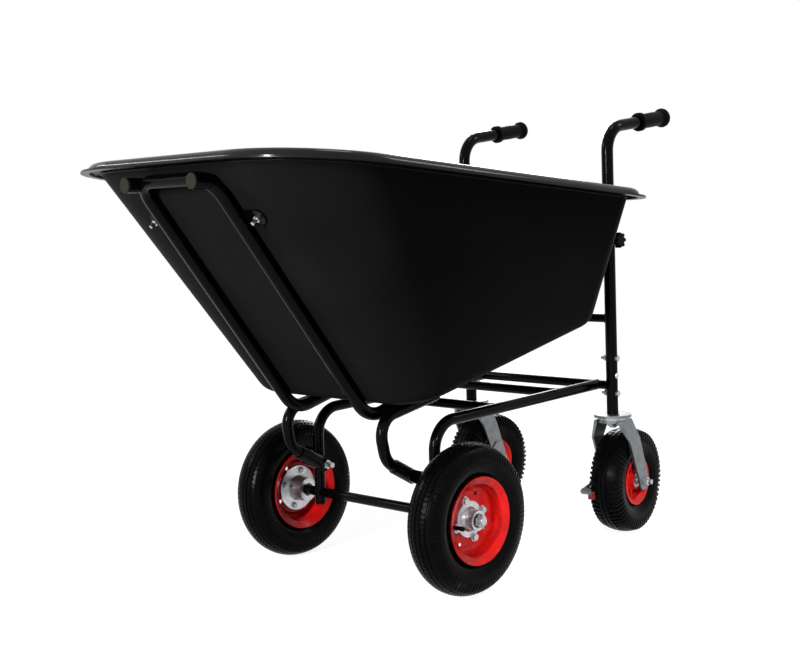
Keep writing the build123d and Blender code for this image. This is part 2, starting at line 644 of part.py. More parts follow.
def hub_bolts():
    """Four bolts with nuts through the hub and the disc."""
    pieces = []
    for k in range(4):
        angle = math.radians(90 * k + HUB_TURN)
        spot = Vector(0, -HUB_BOLT_R * math.sin(angle), HUB_BOLT_R * math.cos(angle))
        pieces.append(hex_bolt(spot + Vector(6.0, 0, 0), (-1, 0, 0), BOLT_R, 26.0, 13.0, 5.5))
        pieces.append(nut(spot - Vector(11.0, 0, 0), (-1, 0, 0), 13.0, 6.5, BOLT_R))
    return pieces


front_tyre = tyre(FRONT_R, FRONT_TYRE_HALF, FRONT_SHOULDER, FRONT_RIM_R, 7.0, 16.0)
rim_solid = front_rim()
front_tyre = front_tyre - rim_solid
for name, side in SIDES.items():
    place = Pos(side * FRONT_TRACK_HALF, 0, FRONT_R) * Rot(Z=0 if side > 0 else 180)
    keep(f"front_tyre_{name}", place * max(front_tyre.solids(), key=lambda s: s.volume))
    keep(f"front_rim_{name}", place * rim_solid)
    keep(f"front_hub_{name}", *[place * piece for piece in front_hub()])
    running = AXLE_R + RUN_FIT
    keep(
        f"front_bearings_{name}",
        place * bearing(HUB_IN, 11.0, running, 17.5), place * bearing(HUB_OUT - 11.0, 11.0, running, 17.5),
    )
    keep(f"front_wheel_bolts_{name}", *[place * piece for piece in hub_bolts()])


# Casters: fixed stems and plates, then forks, wheels and brakes that swivel under them
RACE_H = 6.0
PLATE_H = 7.0
CROWN_H = 6.0
crown_top = PLATE_TOP - PLATE_H - RACE_H
crown_low = crown_top - CROWN_H
KINGPIN_R = 8.0


def caster_rim():
    """Moulded rim: flanges, a deep dish on each side, spokes and a hub."""
    half = CASTER_TYRE_HALF * 0.62
    r = CASTER_RIM_R
    seat = r - 9.2
    ring = turned([
        (half + 7.0, r), (half + 0.2, r - 2.0), (half - 3.0, seat), (-half + 3.0, seat), (-half - 0.2, r - 2.0),
        (-half - 7.0, r), (-half - 7.0, r - 6.0), (-half + 2.0, seat - 5.0), (half - 2.0, seat - 5.0), (half + 7.0, r - 6.0),
    ])
    hub = turned([(30.0, 15.0), (30.0, 20.0), (10.0, 23.0), (-10.0, 23.0), (-30.0, 20.0), (-30.0, 15.0)])
    web = turned([(3.0, 18.0), (3.0, seat - 3.0), (-3.0, seat - 3.0), (-3.0, 18.0)])
    rim = ring + hub + web
    span = seat - 3.0 - 20.0
    for k in range(8):
        spoke = Pos(0, 0, 20.0 + span / 2) * Box(30.0, 5.0, span)
        rim = rim + Rot(X=45 * k) * spoke
    for k in range(8):
        rim = rim - Rot(X=45 * k + 22.5) * Pos(0, 0, 33.0) * Rot(Y=90) * Cylinder(6.0, 20)
    return rim


def fork(inboard):
    """Pressed fork: a round crown and two tapered legs that step out past the tyre."""
    axle_z = CASTER_R
    crown = extrude(Plane(origin=(0, 0, crown_low)) * (Circle(36.0) - Circle(KINGPIN_R + RUN_FIT)), CROWN_H)
    knee = 46.0
    reach = 23.0
    side_shape = make_face([
        Line((-31.0, crown_top), (32.0, crown_top)),
        Line((32.0, crown_top), (39.0, crown_top - knee)),
        Line((39.0, crown_top - knee), (CASTER_TRAIL + reach, axle_z)),
        ThreePointArc((CASTER_TRAIL + reach, axle_z), (CASTER_TRAIL, axle_z - reach), (CASTER_TRAIL - reach, axle_z)),
        Line((CASTER_TRAIL - reach, axle_z), (-14.0, crown_top - knee)),
        Line((-14.0, crown_top - knee), (-31.0, crown_top)),
    ])
    yz = Plane(origin=(-80, 0, 0), x_dir=(0, 1, 0), z_dir=(1, 0, 0))
    silhouette = extrude(yz * side_shape, 160)
    xz = Plane(origin=(0, 120, 0), x_dir=(1, 0, 0), z_dir=(0, -1, 0))
    legs = None
    for side in (1, -1):
        top = FORK_IN - 19.0
        strip = make_face(Polyline(
            (side * top, crown_top), (side * (top + FORK_T + 1.5), crown_top),
            (side * (FORK_IN + FORK_T), crown_top - knee), (side * (FORK_IN + FORK_T), axle_z - 20.0),
            (side * FORK_IN, axle_z - 20.0), (side * FORK_IN, crown_top - knee - 1.0), (side * top, crown_low),
            close=True,
        ))
        leg = extrude(xz * strip, 240) & silhouette
        legs = leg if legs is None else legs + leg
    body = crown + legs
    body = body - rod((-80, CASTER_TRAIL, axle_z), (80, CASTER_TRAIL, axle_z), CASTER_AXLE_R)
    pin = brake_pivot(inboard)
    return body - rod(pin - Vector(inboard * 20, 0, 0), pin + Vector(inboard * 20, 0, 0), 4.0 + RUN_FIT)


def brake_pivot(inboard):
    """Centre of the brake lever's pin, on the outside of the inboard leg."""
    return Vector(inboard * (FORK_IN + FORK_T), BRAKE_PIVOT_Y, BRAKE_PIVOT_Z)


def brake_lever(inboard):
    """Bent strip lever: a pin in the fork leg, an arm beside the tyre and a foot tab in front of the tread."""
    pin = brake_pivot(inboard)
    inner = FORK_IN + FORK_T + 0.5
    front = CASTER_TRAIL - CASTER_R - 12.0
    strip = make_face(Polyline(
        *[(inboard * x, y) for x, y in (
            (inner, pin.Y + 12.0), (inner + 3.0, pin.Y + 12.0), (inner + 3.0, -41.0), (inner - 5.5, front),
            (20.0, front), (20.0, front + 3.0), (inner - 8.0, front + 3.0), (inner, -40.0))],
        close=True,
    ))
    side_shape = make_face(Polyline(
        (pin.Y + 11.0, pin.Z - 9.0), (pin.Y + 8.0, pin.Z + 10.0), (pin.Y - 9.0, pin.Z + 9.0), (-24.0, 127.0),
        (front - 2.0, 125.0), (front - 2.0, 112.0), (-24.0, 108.0),
        close=True,
    ))
    yz = Plane(origin=(-80, 0, 0), x_dir=(0, 1, 0), z_dir=(1, 0, 0))
    arm = extrude(Pos(0, 0, 90.0) * strip, 110.0) & extrude(yz * side_shape, 160)
    tab = Pos(inboard * 33.0, front - 4.0, 122.0) * Rot(X=30) * Box(22.0, 13.0, 3.0)
    pin_bar = rod(pin - Vector(inboard * (FORK_T + 2.0), 0, 0), pin + Vector(inboard * 3.5, 0, 0), 4.0)
    pin_cap = rod(pin - Vector(inboard * (FORK_T + 2.5), 0, 0), pin - Vector(inboard * (FORK_T + 0.4), 0, 0), 5.0)
    return arm + tab + pin_bar + pin_cap


def brake_shoe(inboard):
    """Moulded block on the lever, facing the tread."""
    back = CASTER_TRAIL - CASTER_R - 9.0
    return Pos(inboard * 22.0, back + 2.75, 109.0) * Box(16.0, 5.5, 18.0)


stems = []
races = []
kingpin_nuts = []
caster_rim_solid = caster_rim()
caster_tyre = tyre(CASTER_R, CASTER_TYRE_HALF, CASTER_SHOULDER, CASTER_RIM_R, 7.0, 11.0) - caster_rim_solid
caster_tyre = max(caster_tyre.solids(), key=lambda s: s.volume)
for name, side in SIDES.items():
    at_post = Pos(side * POST_X, POST_Y, 0)
    stem = rod((0, 0, PLATE_TOP), (0, 0, 366.0), POST_R - POST_WALL)
    stem = stem - rod((-40, 0, POST_BOLT_Z[1]), (40, 0, POST_BOLT_Z[1]), HOLE_R)
    plate = rod((0, 0, PLATE_TOP - PLATE_H), (0, 0, PLATE_TOP), PLATE_R)
    plate = plate - rod((0, 0, PLATE_TOP - PLATE_H), (0, 0, PLATE_TOP - 3.0), PLATE_R - 3.0)
    kingpin = rod((0, 0, crown_low - 14.0), (0, 0, PLATE_TOP - 1.0), KINGPIN_R)
    stems.append(at_post * (stem + plate + kingpin))
    kingpin_nuts.append(at_post * nut((0, 0, crown_low - 0.5), (0, 0, -1), 24.0, 10.0, KINGPIN_R))
    races.append(at_post * Pos(0, 0, crown_top + 0.4) * (
        Cylinder(34.0, 9.6, align=(Align.CENTER, Align.CENTER, Align.MIN))
        - Cylinder(20.0, 9.6, align=(Align.CENTER, Align.CENTER, Align.MIN))))
    turn = at_post * Rot(Z=CASTER_SWIVEL[name])
    hub_at = Pos(0, CASTER_TRAIL, CASTER_R)
    inboard = -side
    keep(f"caster_fork_{name}", turn * fork(inboard))
    bolt_start = Vector(-inboard * (FORK_IN + FORK_T), CASTER_TRAIL, CASTER_R)
    axle_bolt = hex_bolt(
        Vector(inboard * (FORK_IN + FORK_T), CASTER_TRAIL, CASTER_R), (-inboard, 0, 0), CASTER_AXLE_R, 122.0, 19.0, 7.0
    )
    axle_nut = nut(bolt_start, (-inboard, 0, 0), 19.0, 9.0, CASTER_AXLE_R)
    tube_l = pipe((30.6, CASTER_TRAIL, CASTER_R), (FORK_IN - 0.1, CASTER_TRAIL, CASTER_R), 9.0, 3.0)
    tube_r = pipe((-30.6, CASTER_TRAIL, CASTER_R), (-FORK_IN + 0.1, CASTER_TRAIL, CASTER_R), 9.0, 3.0)
    keep(f"caster_axle_{name}", *[turn * piece for piece in (axle_bolt, axle_nut, tube_l, tube_r)])
    keep(f"caster_tyre_{name}", turn * hub_at * caster_tyre)
    keep(f"caster_rim_{name}", turn * hub_at * caster_rim_solid)
    bush = CASTER_AXLE_R + RUN_FIT
    keep(
        f"caster_bearings_{name}",
        turn * hub_at * bearing(18.0, 12.0, bush, 15.0), turn * hub_at * bearing(-30.0, 12.0, bush, 15.0),
    )
    keep(f"brake_lever_{name}", turn * brake_lever(inboard))
    keep(f"brake_shoe_{name}", turn * brake_shoe(inboard))
keep("caster_stems", *stems)
keep("swivel_races", *races)
keep("chassis_nuts", *pivot_nuts, *post_nuts, *kingpin_nuts)


# Lock knobs: star grips on bolts that pass through the posts and the brackets
def star_knob():
    """Seven-lobed knob, drawn along +Z from its seat."""
    star = Circle(13.0)
    for k in range(7):
        angle = 2 * math.pi * k / 7
        star = star + Pos(14.0 * math.cos(angle), 14.0 * math.sin(angle)) * Circle(4.8)
    neck = extrude(Circle(9.0), 8.0)
    head = Pos(0, 0, 8.0) * extrude(star, 14.0)
    return neck + chamfer(head.faces().sort_by(Axis.Z)[-1].edges(), 1.2) - Cylinder(BOLT_R, 28.0)


for name, side in SIDES.items():
    seat = Vector(side * (POST_X + POST_R + 0.4), POST_Y, KNOB_Z)
    knob_plane = Plane(origin=seat, x_dir=(0, 1, 0), z_dir=(side, 0, 0))
    keep(f"lock_knob_{name}", knob_plane * star_knob())
    bolt_head = Vector(side * (POST_X - POST_R - WEB_GAP - WEB_T - 0.5), POST_Y, KNOB_Z)
    reach = 2 * POST_R + WEB_GAP + WEB_T + 0.5 + 0.4 + 14.0
    keep(f"lock_bolt_{name}", hex_bolt(bolt_head, (side, 0, 0), BOLT_R, reach, 13.0, 5.5))
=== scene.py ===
import json
import math

import bmesh
import bpy
from mathutils import Matrix, Vector


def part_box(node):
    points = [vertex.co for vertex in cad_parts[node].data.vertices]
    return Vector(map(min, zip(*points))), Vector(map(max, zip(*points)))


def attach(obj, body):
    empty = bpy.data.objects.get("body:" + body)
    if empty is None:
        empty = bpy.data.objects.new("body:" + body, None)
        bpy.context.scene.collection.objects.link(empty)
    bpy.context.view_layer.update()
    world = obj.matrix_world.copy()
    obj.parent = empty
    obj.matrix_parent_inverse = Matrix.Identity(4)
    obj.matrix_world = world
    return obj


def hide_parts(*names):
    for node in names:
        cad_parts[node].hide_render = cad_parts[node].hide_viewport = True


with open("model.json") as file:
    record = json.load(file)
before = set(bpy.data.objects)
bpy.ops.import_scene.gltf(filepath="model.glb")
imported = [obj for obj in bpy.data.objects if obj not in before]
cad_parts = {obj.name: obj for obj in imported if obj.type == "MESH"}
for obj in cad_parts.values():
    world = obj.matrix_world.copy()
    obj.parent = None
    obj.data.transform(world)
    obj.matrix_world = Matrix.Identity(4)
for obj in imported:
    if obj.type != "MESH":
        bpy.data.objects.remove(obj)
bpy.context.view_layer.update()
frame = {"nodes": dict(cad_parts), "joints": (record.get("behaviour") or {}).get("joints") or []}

bl_info = {
    "name": "Tipping Barrow",
    "version": (1, 0, 0),
    "blender": (4, 5, 0),
    "location": "View3D > Sidebar > Barrow",
    "description": "Dresses the packed tipping barrow with its finishes, tyres and studio",
    "category": "Object",
}

NODES = frame["nodes"]
MM = 0.001
FULL_TURN = 2 * math.pi
SIDES = ("left", "right")

# Most values of a noise texture lie in this range.
NOISE_RANGE = {"From Min": 0.3, "From Max": 0.7}

# Inner and outer radius of the rubber seals in the bearings' faces.
FRONT_SEAL = (11 * MM, 15 * MM)
CASTER_SEAL = (8.5 * MM, 12.5 * MM)

# Phases of one tread pitch at which the section is drawn, and the two between which a rib stands.
TREAD_PHASES = (0.0, 0.06, 0.25, 0.46, 0.52, 0.56, 0.75, 0.96)
RIB_START = 0.03
RIB_END = 0.54

# Where a tyre's shoulder begins, as a share of its half width, and how many rows of its wall have ribs.
SHOULDER_SHARE = 0.74
RIB_ROWS = 8

# Steps of a tyre's wall from shoulder to rim, and the angle from which an edge is shaded sharp.
WALL_STEPS = 22
SHARP_ANGLE = math.radians(38)

# Sides of a weld bead's section, and points along its seam.
WELD_SIDES = 8
WELD_POINTS = 96

# Each lamp's place, the point it aims at, its width and height, and the setting with its power.
LAMPS = {
    "front_strip": ((0.6, -3.3, 1.3), (0.0, -0.3, 0.4), (0.16, 0.9), "front_power"),
    "left_strip": ((-2.6, -1.9, 2.2), (0.0, -0.5, 0.85), (1.9, 0.12), "left_power"),
    "back_strip": ((1.6, 1.9, 2.4), (0.2, 0.0, 0.5), (0.2, 1.2), "back_power"),
    "top_softbox": ((0.2, 0.4, 3.4), (0.0, 0.0, 0.5), (0.7, 0.7), "top_power"),
    "rear_fill": ((-1.8, 2.6, 1.6), (0.0, 0.2, 0.4), (0.8, 0.8), "rear_power"),
    "wheel_lamp": ((2.5, -1.5, 1.4), (0.3, 0.25, 0.13), (0.2, 0.3), "wheel_power"),
}


def joint_named(name):
    """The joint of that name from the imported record, which gives a wheel's centre and axis."""
    for joint in frame["joints"]:
        if joint["name"] == name:
            return joint
    raise RuntimeError(f"the packed record has no joint {name}")


def hex_linear(text):
    """Linear colour with alpha 1 from an sRGB hex value, by the sRGB standard's curve."""
    channels = []
    for start in (1, 3, 5):
        value = int(text[start:start + 2], 16) / 255
        channels.append(value / 12.92 if value <= 0.04045 else ((value + 0.055) / 1.055) ** 2.4)
    return (*channels, 1.0)


def add_node(tree, kind, values=None, links=None, **settings):
    """Add one node with its settings, its socket values and the links into it."""
    node = tree.nodes.new(kind)
    for name, value in settings.items():
        setattr(node, name, value)
    for socket, value in (values or {}).items():
        node.inputs[socket].default_value = value
    for socket, source in (links or {}).items():
        tree.links.new(source, node.inputs[socket])
    return node


def new_material(name):
    """Empty node material, its tree, and the place on the object at rest, in metres."""
    material = bpy.data.materials.new(name)
    material.use_nodes = True
    tree = material.node_tree
    tree.nodes.clear()
    place = add_node(tree, "ShaderNodeTexCoord").outputs["Object"]
    return material, tree, place


def seen_rays(tree):
    """1 for rays from the camera, in reflections and through clear things, and 0 for the rest."""
    path = add_node(tree, "ShaderNodeLightPath")
    seen = add_node(tree, "ShaderNodeMath", operation="MAXIMUM",
                    links={0: path.outputs["Is Camera Ray"], 1: path.outputs["Is Glossy Ray"]})
    seen = add_node(tree, "ShaderNodeMath", operation="MAXIMUM",
                    links={0: seen.outputs[0], 1: path.outputs["Is Transmission Ray"]})
    return seen.outputs[0]


def moulded_tub(settings):
    """Injection-moulded polypropylene: walls with dull spark-eroded grain, and a smooth rim that shines."""
    material, tree, place = new_material("polypropylene_moulded_tub")
    # Real grain is well under a millimetre, drawn at 2.2 mm so that it shows.
    grain = add_node(tree, "ShaderNodeTexNoise", {"Scale": 1 / (2.2 * MM), "Detail": 3.0}, {"Vector": place})
    cloud = add_node(tree, "ShaderNodeTexNoise", {"Scale": 1 / (180 * MM), "Detail": 4.0}, {"Vector": place})
    rough = add_node(tree, "ShaderNodeMapRange", {**NOISE_RANGE, "To Min": 0.42, "To Max": 0.52},
                     {"Value": cloud.outputs["Fac"]})
    tone = add_node(tree, "ShaderNodeMix",
                    {"A": hex_linear("#0F0F0F"), "B": hex_linear(settings.tub_tone_hex)},
                    {"Factor": cloud.outputs["Fac"]}, data_type="RGBA")
    # The rim lies in a plane that falls toward the handles, and the tub is smooth above that plane.
    level = add_node(tree, "ShaderNodeVectorMath", {1: (0.0, settings.rim_fall, 1.0)}, {0: place},
                     operation="DOT_PRODUCT")
    blend = 2 * MM
    smooth = add_node(tree, "ShaderNodeMapRange",
                      {"From Min": settings.rim_height - blend, "From Max": settings.rim_height + blend},
                      {"Value": level.outputs["Value"]})
    polish = add_node(tree, "ShaderNodeMix", {"B": settings.rim_roughness},
                      {"Factor": smooth.outputs[0], "A": rough.outputs[0]})
    sheen = add_node(tree, "ShaderNodeMapRange",
                     {"To Min": settings.tub_sheen, "To Max": settings.rim_sheen},
                     {"Value": smooth.outputs[0]})
    bump = add_node(tree, "ShaderNodeBump", {"Strength": 0.12, "Distance": 0.25 * MM},
                    {"Height": grain.outputs["Fac"]})
    shader = add_node(tree, "ShaderNodeBsdfPrincipled", {"IOR": 1.49},
                      {"Base Color": tone.outputs["Result"], "Roughness": polish.outputs[0],
                       "Specular IOR Level": sheen.outputs[0], "Normal": bump.outputs[0]})
    add_node(tree, "ShaderNodeOutputMaterial", links={"Surface": shader.outputs[0]})
    return material


def powder_coat(settings):
    """Gloss black powder coat on steel tube: deep black, slight orange peel, clear highlights."""
    material, tree, place = new_material("powder_coat_gloss_black")
    peel = add_node(tree, "ShaderNodeTexNoise", {"Scale": 1 / (3.5 * MM), "Detail": 2.0}, {"Vector": place})
    dust = add_node(tree, "ShaderNodeTexNoise", {"Scale": 1 / (40 * MM), "Detail": 4.0}, {"Vector": place})
    rough = add_node(tree, "ShaderNodeMapRange",
                     {"From Min": 0.35, "From Max": 0.7, "To Min": 0.11, "To Max": 0.19},
                     {"Value": dust.outputs["Fac"]})
    tone = add_node(tree, "ShaderNodeMix",
                    {"A": hex_linear("#030303"), "B": hex_linear(settings.tube_tone_hex)},
                    {"Factor": dust.outputs["Fac"]}, data_type="RGBA")
    bump = add_node(tree, "ShaderNodeBump", {"Strength": 0.08, "Distance": 0.3 * MM},
                    {"Height": peel.outputs["Fac"]})
    shader = add_node(tree, "ShaderNodeBsdfPrincipled",
                      {"IOR": 1.5, "Specular IOR Level": settings.tube_sheen},
                      {"Base Color": tone.outputs["Result"], "Roughness": rough.outputs[0],
                       "Normal": bump.outputs[0]})
    add_node(tree, "ShaderNodeOutputMaterial", links={"Surface": shader.outputs[0]})
    return material


def axle_steel(settings):
    """Steel axle: powder-coated between the rails, bare and threaded at its ends."""
    material, tree, place = new_material("axle_steel_coated_middle")
    axes = add_node(tree, "ShaderNodeSeparateXYZ", links={"Vector": place})
    reach = add_node(tree, "ShaderNodeMath", links={0: axes.outputs["X"]}, operation="ABSOLUTE")
    bare = add_node(tree, "ShaderNodeMath", {1: settings.axle_bare_from}, {0: reach.outputs[0]},
                    operation="GREATER_THAN")
    thread_pitch = 1.5 * MM
    # The texture's own waves, at scale 1, run this many radians to the metre.
    wave_radians = 20
    turns = add_node(tree, "ShaderNodeTexWave",
                     {"Scale": FULL_TURN / (wave_radians * thread_pitch), "Distortion": 0.0},
                     {"Vector": place}, bands_direction="X")
    height = add_node(tree, "ShaderNodeMath", links={0: turns.outputs["Fac"], 1: bare.outputs[0]},
                      operation="MULTIPLY")
    bump = add_node(tree, "ShaderNodeBump", {"Strength": 0.8, "Distance": 0.8 * MM},
                    {"Height": height.outputs[0]})
    tone = add_node(tree, "ShaderNodeMix", {"A": hex_linear("#0A0A0A"), "B": hex_linear("#B5B7BA")},
                    {"Factor": bare.outputs[0]}, data_type="RGBA")
    shader = add_node(tree, "ShaderNodeBsdfPrincipled", {"Roughness": 0.26},
                      {"Base Color": tone.outputs["Result"], "Metallic": bare.outputs[0],
                       "Normal": bump.outputs[0]})
    add_node(tree, "ShaderNodeOutputMaterial", links={"Surface": shader.outputs[0]})
    return material


def zinc_fastener(settings):
    """Bright zinc on cold-formed fasteners: pale metal with a faint blue cast and soft wear."""
    material, tree, place = new_material("zinc_bright_fastener")
    cloud = add_node(tree, "ShaderNodeTexNoise", {"Scale": 1 / (5 * MM), "Detail": 4.0}, {"Vector": place})
    tone = add_node(tree, "ShaderNodeMix",
                    {"A": hex_linear("#8E9195"), "B": hex_linear(settings.zinc_tone_hex)},
                    {"Factor": cloud.outputs["Fac"]}, data_type="RGBA")
    rough = add_node(tree, "ShaderNodeMapRange", {**NOISE_RANGE, "To Min": 0.22, "To Max": 0.4},
                     {"Value": cloud.outputs["Fac"]})
    shader = add_node(tree, "ShaderNodeBsdfPrincipled", {"Metallic": 1.0},
                      {"Base Color": tone.outputs["Result"], "Roughness": rough.outputs[0]})
    add_node(tree, "ShaderNodeOutputMaterial", links={"Surface": shader.outputs[0]})
    return material


def zinc_sheet():
    """Zinc-plated pressed sheet: greyer than the fasteners, with rolled streaks and small dull spots."""
    material, tree, place = new_material("zinc_plated_pressed_sheet")
    stretched = add_node(tree, "ShaderNodeMapping", {"Scale": (1.0, 1.0, 0.12)}, {"Vector": place})
    streak = add_node(tree, "ShaderNodeTexNoise", {"Scale": 1 / (2.5 * MM), "Detail": 5.0},
                      {"Vector": stretched.outputs[0]})
    cloud = add_node(tree, "ShaderNodeTexNoise", {"Scale": 1 / (18 * MM), "Detail": 4.0}, {"Vector": place})
    tone = add_node(tree, "ShaderNodeMix", {"A": hex_linear("#54575A"), "B": hex_linear("#8E9194")},
                    {"Factor": cloud.outputs["Fac"]}, data_type="RGBA")
    rough = add_node(tree, "ShaderNodeMapRange", {**NOISE_RANGE, "To Min": 0.28, "To Max": 0.46},
                     {"Value": streak.outputs["Fac"]})
    bump = add_node(tree, "ShaderNodeBump", {"Strength": 0.05, "Distance": 0.2 * MM},
                    {"Height": streak.outputs["Fac"]})
    shader = add_node(tree, "ShaderNodeBsdfPrincipled", {"Metallic": 1.0},
                      {"Base Color": tone.outputs["Result"], "Roughness": rough.outputs[0],
                       "Normal": bump.outputs[0]})
    add_node(tree, "ShaderNodeOutputMaterial", links={"Surface": shader.outputs[0]})
    return material


def wheel_place(tree, place, centre, turn):
    """Place about a wheel's centre, with its axle along X."""
    about = add_node(tree, "ShaderNodeMapping", {"Location": centre, "Rotation": (0.0, 0.0, turn)},
                     {"Vector": place}, vector_type="TEXTURE")
    return about.outputs[0]


def wheel_radius(tree, place):
    """Distance from the axle, in metres."""
    flat = add_node(tree, "ShaderNodeVectorMath", {1: (0.0, 1.0, 1.0)}, {0: place}, operation="MULTIPLY")
    reach = add_node(tree, "ShaderNodeVectorMath", links={0: flat.outputs[0]}, operation="LENGTH")
    return reach.outputs["Value"]


def alloy_hub(side):
    """Cast aluminium with turned faces: fine rings from the lathe and a pale bare shine."""
    joint = joint_named(f"front_wheel_spin_{side}")
    material, tree, place = new_material(f"aluminium_turned_hub_{side}")
    place = wheel_place(tree, place, joint["pos_m"], 0.0)
    radius = wheel_radius(tree, place)
    # Real tool marks are about 0.3 mm apart, drawn at 1.2 mm so that they show.
    rings = add_node(tree, "ShaderNodeMath", {1: FULL_TURN / (1.2 * MM)}, {0: radius}, operation="MULTIPLY")
    wave = add_node(tree, "ShaderNodeMath", links={0: rings.outputs[0]}, operation="SINE")
    cloud = add_node(tree, "ShaderNodeTexNoise", {"Scale": 1 / (9 * MM), "Detail": 4.0}, {"Vector": place})
    tone = add_node(tree, "ShaderNodeMix", {"A": hex_linear("#9FA1A4"), "B": hex_linear("#D6D7D9")},
                    {"Factor": cloud.outputs["Fac"]}, data_type="RGBA")
    bump = add_node(tree, "ShaderNodeBump", {"Strength": 0.1, "Distance": 0.1 * MM},
                    {"Height": wave.outputs[0]})
    shader = add_node(tree, "ShaderNodeBsdfPrincipled", {"Metallic": 1.0, "Roughness": 0.33},
                      {"Base Color": tone.outputs["Result"], "Normal": bump.outputs[0]})
    add_node(tree, "ShaderNodeOutputMaterial", links={"Surface": shader.outputs[0]})
    return material


def sealed_bearing(name, joint_name, turn, seal_radii):
    """Ball bearing seen from its face: ground steel races with a black rubber seal between them."""
    joint = joint_named(joint_name)
    inner, outer = seal_radii
    material, tree, place = new_material(f"bearing_steel_sealed_{name}")
    radius = wheel_radius(tree, wheel_place(tree, place, joint["pos_m"], turn))
    above = add_node(tree, "ShaderNodeMath", {1: inner}, {0: radius}, operation="GREATER_THAN")
    below = add_node(tree, "ShaderNodeMath", {1: outer}, {0: radius}, operation="LESS_THAN")
    seal = add_node(tree, "ShaderNodeMath", links={0: above.outputs[0], 1: below.outputs[0]},
                    operation="MULTIPLY")
    metal = add_node(tree, "ShaderNodeMath", {0: 1.0}, {1: seal.outputs[0]}, operation="SUBTRACT")
    tone = add_node(tree, "ShaderNodeMix", {"A": hex_linear("#B9BBBE"), "B": hex_linear("#151515")},
                    {"Factor": seal.outputs[0]}, data_type="RGBA")
    shader = add_node(tree, "ShaderNodeBsdfPrincipled", {"Roughness": 0.24},
                      {"Base Color": tone.outputs["Result"], "Metallic": metal.outputs[0]})
    add_node(tree, "ShaderNodeOutputMaterial", links={"Surface": shader.outputs[0]})
    return material


def red_enamel(settings):
    """Stoved enamel on pressed steel: saturated red, glossy, with a faint ripple and a tone that varies at
    random.
    """
    material, tree, place = new_material("enamel_red_pressed_steel")
    ripple = add_node(tree, "ShaderNodeTexNoise", {"Scale": 1 / (7 * MM), "Detail": 2.0}, {"Vector": place})
    dust = add_node(tree, "ShaderNodeTexNoise", {"Scale": 1 / (30 * MM), "Detail": 5.0}, {"Vector": place})
    tone = add_node(tree, "ShaderNodeMix",
                    {"A": hex_linear("#B00A08"), "B": hex_linear(settings.rim_tone_hex)},
                    {"Factor": dust.outputs["Fac"]}, data_type="RGBA")
    rough = add_node(tree, "ShaderNodeMapRange", {**NOISE_RANGE, "To Min": 0.2, "To Max": 0.34},
                     {"Value": dust.outputs["Fac"]})
    bump = add_node(tree, "ShaderNodeBump", {"Strength": 0.05, "Distance": 0.3 * MM},
                    {"Height": ripple.outputs["Fac"]})
    shader = add_node(tree, "ShaderNodeBsdfPrincipled", {"IOR": 1.5, "Specular IOR Level": 0.2},
                      {"Base Color": tone.outputs["Result"], "Roughness": rough.outputs[0],
                       "Normal": bump.outputs[0]})
    add_node(tree, "ShaderNodeOutputMaterial", links={"Surface": shader.outputs[0]})
    return material


def red_moulding(settings):
    """Moulded red polypropylene: even red with fine mould texture and a soft sheen."""
    material, tree, place = new_material("polypropylene_red_rim")
    # Real mould texture is well under a millimetre, drawn at 1.6 mm so that it shows.
    grain = add_node(tree, "ShaderNodeTexNoise", {"Scale": 1 / (1.6 * MM), "Detail": 3.0}, {"Vector": place})
    cloud = add_node(tree, "ShaderNodeTexNoise", {"Scale": 1 / (25 * MM), "Detail": 3.0}, {"Vector": place})
    tone = add_node(tree, "ShaderNodeMix",
                    {"A": hex_linear("#B51210"), "B": hex_linear(settings.rim_tone_hex)},
                    {"Factor": cloud.outputs["Fac"]}, data_type="RGBA")
    bump = add_node(tree, "ShaderNodeBump", {"Strength": 0.1, "Distance": 0.2 * MM},
                    {"Height": grain.outputs["Fac"]})
    shader = add_node(tree, "ShaderNodeBsdfPrincipled",
                      {"IOR": 1.49, "Specular IOR Level": 0.2, "Roughness": 0.38},
                      {"Base Color": tone.outputs["Result"], "Normal": bump.outputs[0]})
    add_node(tree, "ShaderNodeOutputMaterial", links={"Surface": shader.outputs[0]})
    return material


def tyre_rubber(settings):
    """Vulcanised carbon-black rubber: matte, nearly black, greyer where it has picked up dust."""
    material, tree, place = new_material("rubber_vulcanised_tyre")
    # The rubber's real skin is finer, drawn at 1.5 mm so that it shows.
    skin = add_node(tree, "ShaderNodeTexNoise", {"Scale": 1 / (1.5 * MM), "Detail": 3.0}, {"Vector": place})
    dust = add_node(tree, "ShaderNodeTexNoise", {"Scale": 1 / (35 * MM), "Detail": 5.0}, {"Vector": place})
    tone = add_node(tree, "ShaderNodeMix",
                    {"A": hex_linear("#030303"), "B": hex_linear(settings.tyre_tone_hex)},
                    {"Factor": dust.outputs["Fac"]}, data_type="RGBA")
    rough = add_node(tree, "ShaderNodeMapRange", {**NOISE_RANGE, "To Min": 0.2, "To Max": 0.32},
                     {"Value": dust.outputs["Fac"]})
    bump = add_node(tree, "ShaderNodeBump", {"Strength": 0.12, "Distance": 0.2 * MM},
                    {"Height": skin.outputs["Fac"]})
    shader = add_node(tree, "ShaderNodeBsdfPrincipled",
                      {"IOR": 1.52, "Specular IOR Level": settings.tyre_sheen},
                      {"Base Color": tone.outputs["Result"], "Roughness": rough.outputs[0],
                       "Normal": bump.outputs[0]})
    add_node(tree, "ShaderNodeOutputMaterial", links={"Surface": shader.outputs[0]})
    return material


